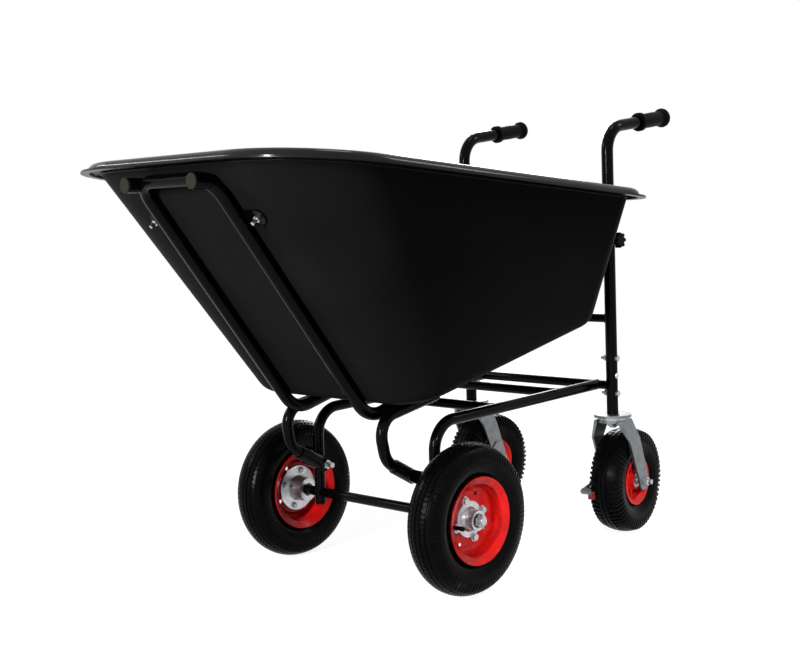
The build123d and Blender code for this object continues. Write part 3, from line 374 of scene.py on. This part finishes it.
def dark_moulding(name, pebble, roughness, tones=("#030303", "#090909")):
    """Small dark mouldings of PVC, nylon or rubber: pebble texture, sized in mm, and a soft grey sheen."""
    material, tree, place = new_material(name)
    grain = add_node(tree, "ShaderNodeTexNoise", {"Scale": 1 / (pebble * MM), "Detail": 2.0},
                     {"Vector": place})
    cloud = add_node(tree, "ShaderNodeTexNoise", {"Scale": 1 / (14 * MM), "Detail": 3.0}, {"Vector": place})
    tone = add_node(tree, "ShaderNodeMix", {"A": hex_linear(tones[0]), "B": hex_linear(tones[1])},
                    {"Factor": cloud.outputs["Fac"]}, data_type="RGBA")
    bump = add_node(tree, "ShaderNodeBump", {"Strength": 0.2, "Distance": 0.3 * MM},
                    {"Height": grain.outputs["Fac"]})
    shader = add_node(tree, "ShaderNodeBsdfPrincipled",
                      {"IOR": 1.5, "Specular IOR Level": 0.04, "Roughness": roughness},
                      {"Base Color": tone.outputs["Result"], "Normal": bump.outputs[0]})
    add_node(tree, "ShaderNodeOutputMaterial", links={"Surface": shader.outputs[0]})
    return material


def shoe_moulding():
    """Dark red nylon brake shoe: dull, with rubbed patches."""
    material, tree, place = new_material("nylon_dark_red_shoe")
    rub = add_node(tree, "ShaderNodeTexNoise", {"Scale": 1 / (6 * MM), "Detail": 5.0}, {"Vector": place})
    tone = add_node(tree, "ShaderNodeMix", {"A": hex_linear("#4A0F0C"), "B": hex_linear("#8E1C17")},
                    {"Factor": rub.outputs["Fac"]}, data_type="RGBA")
    bump = add_node(tree, "ShaderNodeBump", {"Strength": 0.2, "Distance": 0.3 * MM},
                    {"Height": rub.outputs["Fac"]})
    shader = add_node(tree, "ShaderNodeBsdfPrincipled", {"IOR": 1.53, "Roughness": 0.5},
                      {"Base Color": tone.outputs["Result"], "Normal": bump.outputs[0]})
    add_node(tree, "ShaderNodeOutputMaterial", links={"Surface": shader.outputs[0]})
    return material


def both(name):
    """Names of a node's left and right twins."""
    return [f"{name}_{side}" for side in SIDES]


def dress(material, *names):
    """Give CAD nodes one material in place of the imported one."""
    for name in names:
        mesh = NODES[name].data
        mesh.materials.clear()
        mesh.materials.append(material)


def link_piece(name, mesh, material, body, place=Matrix()):
    """Put a new mesh in the scene at its place, on its body, with its material."""
    piece = bpy.data.objects.new(name, mesh)
    bpy.context.scene.collection.objects.link(piece)
    mesh.materials.append(material)
    piece.matrix_world = place
    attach(piece, body)
    return piece


def arc_points(start, middle, end, steps):
    """Points along the circle through three points, both ends included."""
    (ax, ay), (bx, by), (cx, cy) = start, middle, end
    a_square = ax * ax + ay * ay
    b_square = bx * bx + by * by
    c_square = cx * cx + cy * cy
    twice = 2 * (ax * (by - cy) + bx * (cy - ay) + cx * (ay - by))
    centre_x = (a_square * (by - cy) + b_square * (cy - ay) + c_square * (ay - by)) / twice
    centre_y = (a_square * (cx - bx) + b_square * (ax - cx) + c_square * (bx - ax)) / twice
    radius = math.hypot(ax - centre_x, ay - centre_y)
    first = math.atan2(ay - centre_y, ax - centre_x)
    through = math.atan2(by - centre_y, bx - centre_x)
    last = math.atan2(cy - centre_y, cx - centre_x)
    sweep = (last - first) % FULL_TURN
    if (through - first) % FULL_TURN > sweep:
        sweep -= FULL_TURN
    points = []
    for k in range(steps + 1):
        angle = first + sweep * k / steps
        points.append((centre_x + radius * math.cos(angle), centre_y + radius * math.sin(angle)))
    return points


def tyre_wall(radius, half, rim, shoulder):
    """Sidewall of a tyre from its shoulder to the rim, as (width, radius) points."""
    top = (half * shoulder[0], radius * shoulder[1])
    widest = (half, (radius + rim) / 2)
    bead = (half * 0.62, rim - 2 * MM)
    return arc_points(top, widest, bead, WALL_STEPS)


def crown_height(x, radius, half, shoulder):
    """Radius of the crown's circle at a distance from the tyre's middle."""
    drop = radius * (1 - shoulder[1])
    bend = ((half * shoulder[0]) ** 2 + drop ** 2) / (2 * drop)
    return radius - bend + math.sqrt(bend ** 2 - x ** 2)


def spun_mesh(name, ring_of, turns):
    """Closed mesh from one ring of section points for each angle round the axle."""
    build = bmesh.new()
    rings = []
    for angle, phase in turns:
        across = math.cos(angle)
        along = math.sin(angle)
        rings.append([build.verts.new((x, r * across, r * along)) for x, r in ring_of(phase)])
    count = len(rings[0])
    for k, ring in enumerate(rings):
        after = rings[(k + 1) % len(rings)]
        for j in range(count):
            build.faces.new((ring[j], ring[(j + 1) % count], after[(j + 1) % count], after[j]))
    bmesh.ops.recalc_face_normals(build, faces=build.faces)
    mesh = bpy.data.meshes.new(name)
    build.to_mesh(mesh)
    build.free()
    mesh.shade_smooth()
    mesh.set_sharp_from_angle(angle=SHARP_ANGLE)
    return mesh


def pitch_turns(pitches, phases):
    """Angles round the axle, each with its phase inside one pitch."""
    step = FULL_TURN / pitches
    return [((k + phase) * step, phase) for k in range(pitches) for phase in phases]


def inner_skin(half, rim, radius):
    """Inside of the tyre's carcass, from bead to bead."""
    skin = 7 * MM
    foot = half * 0.55
    low = rim - 8.8 * MM
    middle = (radius + rim) / 2
    under_tread = radius - skin - 4 * MM
    return [
        (foot, low), (foot - skin, low), (foot - skin, rim), (half - skin, middle), (0.0, under_tread),
        (skin - half, middle), (skin - foot, rim), (skin - foot, low), (-foot, low),
    ]


def rib_rise(phase):
    """1 on a rib and 0 in the gap beside it."""
    return 1.0 if RIB_START < phase < RIB_END else 0.0


def zigzag(phase):
    """Triangle wave from -1 at the ends of a pitch to 1 in its middle."""
    return 1 - 4 * abs(phase - 0.5)


def ridged(points):
    """Lower sidewall with two thin ridges round it."""
    ridge = 0.7 * MM
    ridge_rows = (3, 6)
    return [(x + ridge if k in ridge_rows else x, r) for k, (x, r) in enumerate(points)]


def front_tyre_mesh(settings):
    """Rib tread: zigzag grooves round the crown and short ribs over the shoulders."""
    radius = settings.front_radius
    half = settings.front_half
    rim = settings.front_rim
    depth = settings.groove_depth
    width = settings.groove_width
    reach = settings.groove_zigzag
    wall = tyre_wall(radius, half, rim, settings.front_shoulder)
    grooves = (0.0, 0.30 * half, 0.58 * half)
    # Edges of a groove as shares of its width, each with its share of the depth.
    groove_edges = ((-0.5, 0.0), (-0.32, 1.0), (0.32, 1.0), (0.5, 0.0))
    land = half * SHOULDER_SHARE
    rib_foot = land + 0.6 * MM
    # A gap between ribs sinks by this share of the depth, inward and toward the axle.
    gap_share = 0.55
    inward = 0.75
    downward = 0.65

    def crown(x):
        """Height of the crown at a distance from the middle."""
        return crown_height(x, radius, half, settings.front_shoulder)

    def ring(phase):
        """One ring of the section at a phase of the tread pitch."""
        wave = reach * zigzag(phase)
        gap = depth * (1 - rib_rise(phase))
        side = []
        for k, centre in enumerate(grooves):
            shift = wave if k % 2 == 0 else -wave
            # The middle groove lies on both halves, so each has only its own two edges.
            for edge, share in groove_edges if k else groove_edges[2:]:
                x = centre + shift + edge * width
                side.append((x, crown(x) - depth * share))
        side.append((land, crown(land)))
        side.append((rib_foot, crown(rib_foot) - gap))
        sink = gap * gap_share
        for x, r in wall[1:RIB_ROWS]:
            side.append((x - sink * inward, r - sink * downward))
        side += [wall[RIB_ROWS], *ridged(wall[RIB_ROWS + 1:])]
        # The middle groove swings as one, so its two edges on the other half keep the wave's sign.
        other = [(-x + 2 * (wave if k < 2 else 0.0), r) for k, (x, r) in enumerate(side)]
        return other[::-1] + side + inner_skin(half, rim, radius)

    return spun_mesh("front_tyre", ring, pitch_turns(settings.front_pitches, TREAD_PHASES))


def valve_mesh(settings):
    """Valve of the inner tube: a rubber foot on the rim's disc, a slim stem and a knurled cap."""
    disc = 5.2 * MM
    tip = disc + settings.valve_length
    cap = tip - 11 * MM
    core = 0.3 * MM
    knurl_ridge = 4.9 * MM
    knurl_groove = 4.5 * MM
    knurls = 12
    knurl_phases = (0.0, 0.45, 0.5, 0.95)

    def ring(phase):
        """Section of the valve, as (reach, radius) points, at a phase of the cap's knurl."""
        grip = knurl_ridge if phase < 0.5 else knurl_groove
        return [
            (disc, core), (disc, 6.4 * MM), (disc + 3 * MM, 6.2 * MM), (disc + 7 * MM, 4.2 * MM),
            (cap, 3.9 * MM), (cap, grip), (tip - 1.5 * MM, grip), (tip, 3.4 * MM), (tip, core),
        ]

    mesh = spun_mesh("front_valve", ring, pitch_turns(knurls, knurl_phases))
    mesh.transform(Matrix.Translation((0.0, *settings.valve_place)))
    return mesh


def caster_tyre_mesh(settings):
    """Block tread: two centre ribs and deep shoulder blocks."""
    radius = settings.caster_radius
    half = settings.caster_half
    rim = settings.caster_rim
    depth = settings.block_depth
    wall = tyre_wall(radius, half, rim, settings.caster_shoulder)
    reach = 1.6 * MM
    # The middle slit's share of the depth, and the share by which a gap sinks inward and toward the axle.
    slit_share = 0.6
    inward = 0.6
    downward = 0.8
    # Places across the tread: the middle slit, the centre rib's edge, the gap beside it and the blocks.
    slit_floor = 1.4 * MM
    slit_edge = 2.0 * MM
    rib_edge = 9.5 * MM
    gap_start = 10.1 * MM
    gap_end = 13.0 * MM
    block_edge = 13.6 * MM
    block_middle = 20 * MM

    def crown(x):
        """Height of the crown at a distance from the middle."""
        return crown_height(x, radius, half, settings.caster_shoulder)

    def ring(phase):
        """One ring of the section at a phase of the tread pitch."""
        wave = reach * zigzag(phase)
        gap = depth * (1 - rib_rise(phase))
        side = [(slit_floor, crown(0) - depth * slit_share), (slit_edge, crown(0))]
        for x, sink in ((rib_edge + wave, 0.0), (gap_start + wave, depth), (gap_end + wave, depth)):
            side.append((x, crown(x) - sink))
        for x in (block_edge + wave, block_middle, half * SHOULDER_SHARE):
            side.append((x, crown(x) - gap))
        for x, r in wall[:RIB_ROWS]:
            side.append((x - gap * inward, r - gap * downward))
        side += [wall[RIB_ROWS + 1], *ridged(wall[RIB_ROWS + 2:])]
        other = [(-x, r) for x, r in side]
        return other[::-1] + side + inner_skin(half, rim, radius)

    return spun_mesh("caster_tyre", ring, pitch_turns(settings.caster_pitches, TREAD_PHASES))


def wheel_matrix(joint_name, mirrored):
    """Place of a wheel: its centre, with local X along the axle."""
    joint = joint_named(joint_name)
    x, y, _ = joint["axis"]
    turn = math.atan2(y, x) + (math.pi if mirrored else 0.0)
    return Matrix.Translation(joint["pos_m"]) @ Matrix.Rotation(turn, 4, "Z")


def nearest_shift(loop, after):
    """Steps round the next loop that bring its corners nearest to this loop's."""

    def apart(shift):
        """Summed distance of the corners at that shift."""
        return sum((corner.co - after[(j + shift) % WELD_SIDES].co).length for j, corner in enumerate(loop))

    return min(range(WELD_SIDES), key=apart)


def weld_bead_mesh(name, seams):
    """Weld beads, each a rippled cord along the seam where one tube meets another."""
    radius_mm = 1.9
    ripple_mm = 0.35
    points_per_ripple = 4
    beads = bmesh.new()
    for points in seams:
        loops = []
        count = len(points)
        for k, point in enumerate(points):
            ahead = (points[(k + 1) % count] - points[k - 1]).normalized()
            side = ahead.orthogonal().normalized()
            up = ahead.cross(side)
            thick = (radius_mm + ripple_mm * math.sin(k * FULL_TURN / points_per_ripple)) * MM
            corners = []
            for j in range(WELD_SIDES):
                angle = j * FULL_TURN / WELD_SIDES
                corners.append(point + side * thick * math.cos(angle) + up * thick * math.sin(angle))
            loops.append([beads.verts.new(corner) for corner in corners])
        for k, loop in enumerate(loops):
            after = loops[(k + 1) % count]
            shift = nearest_shift(loop, after)
            facing = [after[(j + shift) % WELD_SIDES] for j in range(WELD_SIDES)]
            for j in range(WELD_SIDES):
                beside = (j + 1) % WELD_SIDES
                beads.faces.new((loop[j], loop[beside], facing[beside], facing[j]))
    bmesh.ops.recalc_face_normals(beads, faces=beads.faces)
    mesh = bpy.data.meshes.new(name)
    beads.to_mesh(mesh)
    beads.free()
    mesh.shade_smooth()
    return mesh


def saddle(centre, away, along, small, large):
    """Seam of a small tube on a large one, whose axis it leaves at the centre in the direction away."""
    centre = Vector(centre)
    away = Vector(away)
    along = Vector(along)
    across = away.cross(along).normalized()
    points = []
    for k in range(WELD_POINTS):
        angle = FULL_TURN * k / WELD_POINTS
        off = small * math.sin(angle)
        reach = math.sqrt(max(large ** 2 - off ** 2, 0.0))
        points.append(centre + away * reach + across * off + along * small * math.cos(angle))
    return points


class BarrowSettings(bpy.types.PropertyGroup):
    """Sizes and colours of the barrow's dressing"""

    tub_tone_hex: bpy.props.StringProperty(
        name="Tub Tone", description="Lighter tone of the moulded tub, sRGB hex", default="#1E1E1E")
    tub_sheen: bpy.props.FloatProperty(
        name="Tub Sheen", description="Mirror strength of the grained walls",
        default=0.006, min=0.0, max=1.0)
    rim_sheen: bpy.props.FloatProperty(
        name="Rim Sheen", description="Mirror strength of the smooth rim", default=0.16, min=0.0, max=1.0)
    rim_roughness: bpy.props.FloatProperty(
        name="Rim Roughness", description="Roughness of the smooth rim", default=0.14, min=0.0, max=1.0)
    rim_height: bpy.props.FloatProperty(
        name="Rim Height", description="Height of the rim's plane at the middle of the barrow",
        default=0.8426, unit="LENGTH")
    rim_fall: bpy.props.FloatProperty(
        name="Rim Fall", description="Fall of the rim's plane toward the handles, per metre", default=0.088)
    tube_tone_hex: bpy.props.StringProperty(
        name="Tube Tone", description="Lighter tone of the powder coat, sRGB hex", default="#060606")
    tube_sheen: bpy.props.FloatProperty(
        name="Tube Sheen", description="Mirror strength of the powder coat",
        default=0.055, min=0.0, max=1.0)
    rim_tone_hex: bpy.props.StringProperty(
        name="Rim Tone", description="Red of the wheel rims, sRGB hex", default="#D51712")
    zinc_tone_hex: bpy.props.StringProperty(
        name="Zinc Tone", description="Pale tone of the zinc plating, sRGB hex", default="#CFD1D4")
    tyre_tone_hex: bpy.props.StringProperty(
        name="Tyre Tone", description="Dusty tone of the tyre rubber, sRGB hex", default="#080808")
    tyre_sheen: bpy.props.FloatProperty(
        name="Tyre Sheen", description="Mirror strength of the tyre rubber",
        default=0.035, min=0.0, max=1.0)
    axle_bare_from: bpy.props.FloatProperty(
        name="Bare Axle From", description="Distance from the middle where the axle's coating ends",
        default=0.198, unit="LENGTH")
    front_radius: bpy.props.FloatProperty(
        name="Front Tyre Radius", description="Outer radius of the front tyres",
        default=0.1598, unit="LENGTH")
    front_half: bpy.props.FloatProperty(
        name="Front Tyre Half Width", description="Half width of the front tyres",
        default=0.0393, unit="LENGTH")
    front_shoulder: bpy.props.FloatVectorProperty(
        name="Front Shoulder",
        description="Shoulder of the front tyres as shares of half width and radius",
        default=(0.80, 0.93), size=2)
    front_rim: bpy.props.FloatProperty(
        name="Front Rim Radius", description="Radius of the front rims' flanges",
        default=0.092, unit="LENGTH")
    front_pitches: bpy.props.IntProperty(
        name="Front Tread Pitches", description="Shoulder ribs round each front tyre", default=92, min=24)
    groove_depth: bpy.props.FloatProperty(
        name="Groove Depth", description="Depth of the front tread's grooves",
        default=0.0026, unit="LENGTH")
    groove_width: bpy.props.FloatProperty(
        name="Groove Width", description="Width of the front tread's grooves",
        default=0.0034, unit="LENGTH")
    groove_zigzag: bpy.props.FloatProperty(
        name="Groove Zigzag", description="Side step of the zigzag grooves", default=0.0018, unit="LENGTH")
    valve_place: bpy.props.FloatVectorProperty(
        name="Valve Place", description="Offsets of the front valves from the axle, level and upward",
        default=(-0.058, -0.005), size=2, unit="LENGTH")
    valve_length: bpy.props.FloatProperty(
        name="Valve Length", description="Reach of the front valves from the disc",
        default=0.036, unit="LENGTH")
    caster_radius: bpy.props.FloatProperty(
        name="Caster Tyre Radius", description="Outer radius of the caster tyres",
        default=0.1268, unit="LENGTH")
    caster_half: bpy.props.FloatProperty(
        name="Caster Tyre Half Width", description="Half width of the caster tyres",
        default=0.0403, unit="LENGTH")
    caster_shoulder: bpy.props.FloatVectorProperty(
        name="Caster Shoulder",
        description="Shoulder of the caster tyres as shares of half width and radius",
        default=(0.86, 0.945), size=2)
    caster_rim: bpy.props.FloatProperty(
        name="Caster Rim Radius", description="Radius of the caster rims' flanges",
        default=0.060, unit="LENGTH")
    caster_pitches: bpy.props.IntProperty(
        name="Caster Tread Blocks", description="Shoulder blocks round each caster tyre",
        default=60, min=16)
    block_depth: bpy.props.FloatProperty(
        name="Block Depth", description="Depth of the caster tread's gaps", default=0.0042, unit="LENGTH")


class StageSettings(bpy.types.PropertyGroup):
    """Studio, lamps and camera"""

    camera_place: bpy.props.FloatVectorProperty(
        name="Camera Place", description="Place of the camera",
        default=(2.04356, -2.12633, 0.79285), subtype="XYZ", unit="LENGTH")
    camera_yaw: bpy.props.FloatProperty(
        name="Camera Yaw", description="Turn of the view about the vertical",
        default=math.radians(44.508), subtype="ANGLE")
    camera_pitch: bpy.props.FloatProperty(
        name="Camera Pitch", description="Downward tilt of the view",
        default=math.radians(4.742), subtype="ANGLE")
    camera_roll: bpy.props.FloatProperty(
        name="Camera Roll", description="Lean of the frame", default=math.radians(1.977), subtype="ANGLE")
    camera_lens: bpy.props.FloatProperty(
        name="Camera Lens", description="Focal length on a 36 mm wide sensor",
        default=58.5, subtype="DISTANCE_CAMERA")
    floor_tone_hex: bpy.props.StringProperty(
        name="Floor Tone", description="Colour of the floor, sRGB hex", default="#FFFFFF")
    floor_body_hex: bpy.props.StringProperty(
        name="Floor Body",
        description="Colour of the floor under its lift, which sets the bounce, sRGB hex",
        default="#9A9A9A")
    floor_glow: bpy.props.FloatProperty(
        name="Floor Glow", description="Lift that keeps the floor white while it still takes shadow",
        default=0.88, min=0.0)
    world_light: bpy.props.FloatProperty(
        name="World Light", description="Strength of the plain surrounding light", default=0.05, min=0.0)
    front_power: bpy.props.FloatProperty(
        name="Front Power", description="Power of the tall strip ahead of the barrow",
        default=120.0, unit="POWER")
    left_power: bpy.props.FloatProperty(
        name="Left Power", description="Power of the wide strip that lines the rolled rim",
        default=22.0, unit="POWER")
    back_power: bpy.props.FloatProperty(
        name="Back Power", description="Power of the strip behind that edges the tyres and posts",
        default=12.0, unit="POWER")
    rear_power: bpy.props.FloatProperty(
        name="Rear Power", description="Power of the softbox that fills the sides away from the camera",
        default=30.0, unit="POWER")
    wheel_power: bpy.props.FloatProperty(
        name="Wheel Power", description="Power of the low lamp that lights the wheels",
        default=1.7, unit="POWER")
    wheel_spread: bpy.props.FloatProperty(
        name="Wheel Lamp Spread", description="Angle that the low lamp's grid lets through",
        default=math.radians(20.0), subtype="ANGLE")
    top_power: bpy.props.FloatProperty(
        name="Top Power", description="Power of the overhead softbox", default=10.0, unit="POWER")


class BARROW_OT_tub(bpy.types.Operator):
    """Finish the moulded tub"""

    bl_idname = "barrow.tub"
    bl_label = "Finish Tub"

    def execute(self, context):
        dress(moulded_tub(context.scene.barrow), "tray_tub")
        return {"FINISHED"}


class BARROW_OT_tubes(bpy.types.Operator):
    """Finish the powder-coated tubes and brackets and weld their joints"""

    bl_idname = "barrow.tubes"
    bl_label = "Finish Tubes"

    def execute(self, context):
        settings = context.scene.barrow
        coat = powder_coat(settings)
        dress(
            coat, "tray_hoop", "nose_stops", "hoop_tabs", "arm_sockets", "lock_brackets", "cross_tubes",
            "cross_tube_rear", "tray_rest_tube", "lower_posts", "axle_spacers",
            *both("tipping_arm"), *both("rail"), *both("handle_post"),
        )
        dress(axle_steel(settings), "front_axle")
        mesh = weld_bead_mesh("chassis_welds", self.chassis_seams())
        link_piece("chassis_welds", mesh, coat, "chassis")
        return {"FINISHED"}

    def chassis_seams(self):
        """Seams of the rear cross tube and the tray rest tube on the posts."""
        post_low, post_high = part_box("handle_post_left")
        post_x = (post_low.x + post_high.x) / 2
        post_radius = (post_high.x - post_low.x) / 2
        seams = []
        for name in ("cross_tube_rear", "tray_rest_tube"):
            low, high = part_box(name)
            small = (high.z - low.z) / 2
            middle = (low + high) / 2
            for sign in (1, -1):
                centre = (sign * post_x, middle.y, middle.z)
                seams.append(saddle(centre, (-sign, 0, 0), (0, 0, 1), small, post_radius))
        return seams


class BARROW_OT_hardware(bpy.types.Operator):
    """Finish the zinc-plated fasteners, forks, plates and levers"""

    bl_idname = "barrow.hardware"
    bl_label = "Finish Hardware"

    def execute(self, context):
        settings = context.scene.barrow
        dress(
            zinc_fastener(settings), "tray_bolts", "tray_nuts", "axle_nuts", "split_pins", "pivot_bolts",
            "chassis_nuts", "post_spigots", "post_bolts", "swivel_races",
            *both("front_wheel_bolts"), *both("caster_axle"), *both("lock_bolt"),
        )
        dress(zinc_sheet(), "caster_stems", *both("caster_fork"), *both("brake_lever"))
        dress(shoe_moulding(), *both("brake_shoe"))
        return {"FINISHED"}


class BARROW_OT_wheel_centres(bpy.types.Operator):
    """Finish the rims, hubs and bearings"""

    bl_idname = "barrow.wheel_centres"
    bl_label = "Finish Wheel Centres"

    def execute(self, context):
        settings = context.scene.barrow
        dress(red_enamel(settings), *both("front_rim"))
        dress(red_moulding(settings), *both("caster_rim"))
        for side in SIDES:
            dress(alloy_hub(side), f"front_hub_{side}")
            spin = f"front_wheel_spin_{side}"
            front = sealed_bearing(f"front_{side}", spin, 0.0, FRONT_SEAL)
            dress(front, f"front_bearings_{side}")
            spin = f"caster_spin_{side}"
            x, y, _ = joint_named(spin)["axis"]
            rear = sealed_bearing(f"caster_{side}", spin, math.atan2(y, x), CASTER_SEAL)
            dress(rear, f"caster_bearings_{side}")
        return {"FINISHED"}


class BARROW_OT_front_tyres(bpy.types.Operator):
    """Build the front tyres with their rib tread and valves"""

    bl_idname = "barrow.front_tyres"
    bl_label = "Build Front Tyres"

    def execute(self, context):
        settings = context.scene.barrow
        mesh = front_tyre_mesh(settings)
        rubber = tyre_rubber(settings)
        for side in SIDES:
            body = f"front_wheel_{side}"
            place = wheel_matrix(f"front_wheel_spin_{side}", side == "right")
            tread = link_piece(f"front_tread_{side}", mesh.copy(), rubber, body, place)
            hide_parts(f"front_tyre_{side}")
            link_piece(f"front_valve_{side}", valve_mesh(settings), rubber, body, place)
        return {"FINISHED"}


class BARROW_OT_caster_tyres(bpy.types.Operator):
    """Build the caster tyres with their block tread"""

    bl_idname = "barrow.caster_tyres"
    bl_label = "Build Caster Tyres"

    def execute(self, context):
        settings = context.scene.barrow
        mesh = caster_tyre_mesh(settings)
        rubber = tyre_rubber(settings)
        for side in SIDES:
            place = wheel_matrix(f"caster_spin_{side}", side == "right")
            body = f"caster_wheel_{side}"
            tread = link_piece(f"caster_tread_{side}", mesh.copy(), rubber, body, place)
            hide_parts(f"caster_tyre_{side}")
        return {"FINISHED"}


class BARROW_OT_mouldings(bpy.types.Operator):
    """Finish the hand grips, knobs, plugs and pads"""

    bl_idname = "barrow.mouldings"
    bl_label = "Finish Mouldings"

    def execute(self, context):
        grip = dark_moulding("pvc_dipped_grip", pebble=1.4, roughness=0.46)
        dress(grip, *both("hand_grip"))
        knob = dark_moulding("nylon_star_knob", pebble=0.9, roughness=0.42)
        dress(knob, *both("lock_knob"))
        plug = dark_moulding("polyethylene_plug", pebble=1.2, roughness=0.5, tones=("#1F1D19", "#322F2A"))
        dress(plug, "nose_stop_plugs")
        pad = dark_moulding("rubber_floor_pad", pebble=1.2, roughness=0.5)
        dress(pad, "floor_pads")
        return {"FINISHED"}


class BARROW_OT_stage(bpy.types.Operator):
    """Build the pale floor, soft lamps, world and camera"""

    bl_idname = "barrow.stage"
    bl_label = "Build Stage"

    def execute(self, context):
        settings = context.scene.barrow_stage
        self.floor(settings)
        self.world(context.scene, settings)
        for name, (place, aim, size, power) in LAMPS.items():
            self.lamp(name, place, aim, size, getattr(settings, power))
        bpy.data.lights["wheel_lamp"].spread = settings.wheel_spread
        self.camera(context.scene, settings)
        context.scene.view_settings.view_transform = "Standard"
        return {"FINISHED"}

    def floor(self, settings):
        """Wide pale floor that takes the shadow."""
        mesh = bpy.data.meshes.new("studio_floor")
        reach = 14.0
        corners = [(-reach, -reach, 0), (reach, -reach, 0), (reach, reach, 0), (-reach, reach, 0)]
        mesh.from_pydata(corners, [], [(0, 1, 2, 3)])
        floor = bpy.data.objects.new("studio_floor", mesh)
        bpy.context.scene.collection.objects.link(floor)
        material, tree, place = new_material("studio_floor_paint")
        away = add_node(tree, "ShaderNodeVectorMath", links={0: place}, operation="LENGTH")
        # The lift is full far from the barrow, and lower near it, where the shadow falls.
        near = 1.2
        far = 3.2
        lift = add_node(tree, "ShaderNodeMapRange",
                        {"From Min": near, "From Max": far, "To Min": settings.floor_glow, "To Max": 1.0},
                        {"Value": away.outputs["Value"]})
        glow = add_node(tree, "ShaderNodeMath", links={0: seen_rays(tree), 1: lift.outputs[0]},
                        operation="MULTIPLY")
        shader = add_node(
            tree, "ShaderNodeBsdfPrincipled",
            {"Base Color": hex_linear(settings.floor_body_hex), "Roughness": 0.9, "Specular IOR Level": 0.0,
             "Emission Color": hex_linear(settings.floor_tone_hex)},
            {"Emission Strength": glow.outputs[0]},
        )
        add_node(tree, "ShaderNodeOutputMaterial", links={"Surface": shader.outputs[0]})
        mesh.materials.append(material)

    def world(self, scene, settings):
        """Plain surrounding light that looks white to the camera and in reflections."""
        world = bpy.data.worlds.new("studio_white")
        scene.world = world
        world.use_nodes = True
        tree = world.node_tree
        tree.nodes.clear()
        strength = add_node(tree, "ShaderNodeMapRange", {"To Min": settings.world_light, "To Max": 1.0},
                            {"Value": seen_rays(tree)})
        light = add_node(tree, "ShaderNodeBackground", {"Color": hex_linear("#FFFFFF")},
                         {"Strength": strength.outputs[0]})
        add_node(tree, "ShaderNodeOutputWorld", links={"Surface": light.outputs[0]})

    def lamp(self, name, place, aim, size, power):
        """Rectangular softbox that points at the barrow."""
        data = bpy.data.lights.new(name, "AREA")
        data.shape = "RECTANGLE"
        data.size, data.size_y = size
        data.energy = power
        lamp = bpy.data.objects.new(name, data)
        bpy.context.scene.collection.objects.link(lamp)
        lamp.location = place
        lamp.rotation_euler = (Vector(aim) - Vector(place)).to_track_quat("-Z", "Y").to_euler()

    def camera(self, scene, settings):
        """Camera at the photograph's place, turn and lean."""
        yaw = settings.camera_yaw
        pitch = settings.camera_pitch
        roll = settings.camera_roll
        flat = math.cos(pitch)
        ahead = Vector((-math.sin(yaw) * flat, math.cos(yaw) * flat, -math.sin(pitch)))
        level = Vector((math.cos(yaw), math.sin(yaw), 0.0))
        above = level.cross(ahead)
        right = level * math.cos(roll) - above * math.sin(roll)
        up = level * math.sin(roll) + above * math.cos(roll)
        data = bpy.data.cameras.new("photo_camera")
        data.sensor_width = 36.0
        data.lens = settings.camera_lens
        data.clip_end = 60.0
        camera = bpy.data.objects.new("photo_camera", data)
        scene.collection.objects.link(camera)
        turn = Matrix((right, up, -ahead)).transposed().to_4x4()
        camera.matrix_world = Matrix.Translation(settings.camera_place) @ turn
        scene.camera = camera


class BARROW_PT_panel(bpy.types.Panel):
    """Lists the barrow's operators and settings"""

    bl_idname = "BARROW_PT_panel"
    bl_label = "Tipping Barrow"
    bl_space_type = "VIEW_3D"
    bl_region_type = "UI"
    bl_category = "Barrow"

    def draw(self, context):
        layout = self.layout
        for operator in OPERATORS:
            layout.operator(operator.bl_idname)
        for group in (context.scene.barrow, context.scene.barrow_stage):
            column = layout.column()
            for name in group.__annotations__:
                column.prop(group, name)


OPERATORS = (
    BARROW_OT_tub, BARROW_OT_tubes, BARROW_OT_hardware, BARROW_OT_wheel_centres, BARROW_OT_front_tyres,
    BARROW_OT_caster_tyres, BARROW_OT_mouldings, BARROW_OT_stage,
)
CLASSES = (BarrowSettings, StageSettings, *OPERATORS, BARROW_PT_panel)


def register():
    """Register the classes and put their settings on the scene."""
    for item in CLASSES:
        bpy.utils.register_class(item)
    bpy.types.Scene.barrow = bpy.props.PointerProperty(type=BarrowSettings)
    bpy.types.Scene.barrow_stage = bpy.props.PointerProperty(type=StageSettings)


def unregister():
    """Take the settings off the scene and drop the classes."""
    del bpy.types.Scene.barrow_stage
    del bpy.types.Scene.barrow
    for item in reversed(CLASSES):
        bpy.utils.unregister_class(item)


def main():
    """Register the classes and run every operator."""
    register()
    bpy.ops.barrow.tub()
    bpy.ops.barrow.tubes()
    bpy.ops.barrow.hardware()
    bpy.ops.barrow.wheel_centres()
    bpy.ops.barrow.front_tyres()
    bpy.ops.barrow.caster_tyres()
    bpy.ops.barrow.mouldings()
    bpy.ops.barrow.stage()
    bpy.context.view_layer.update()


if __name__ == "__main__":
    main()
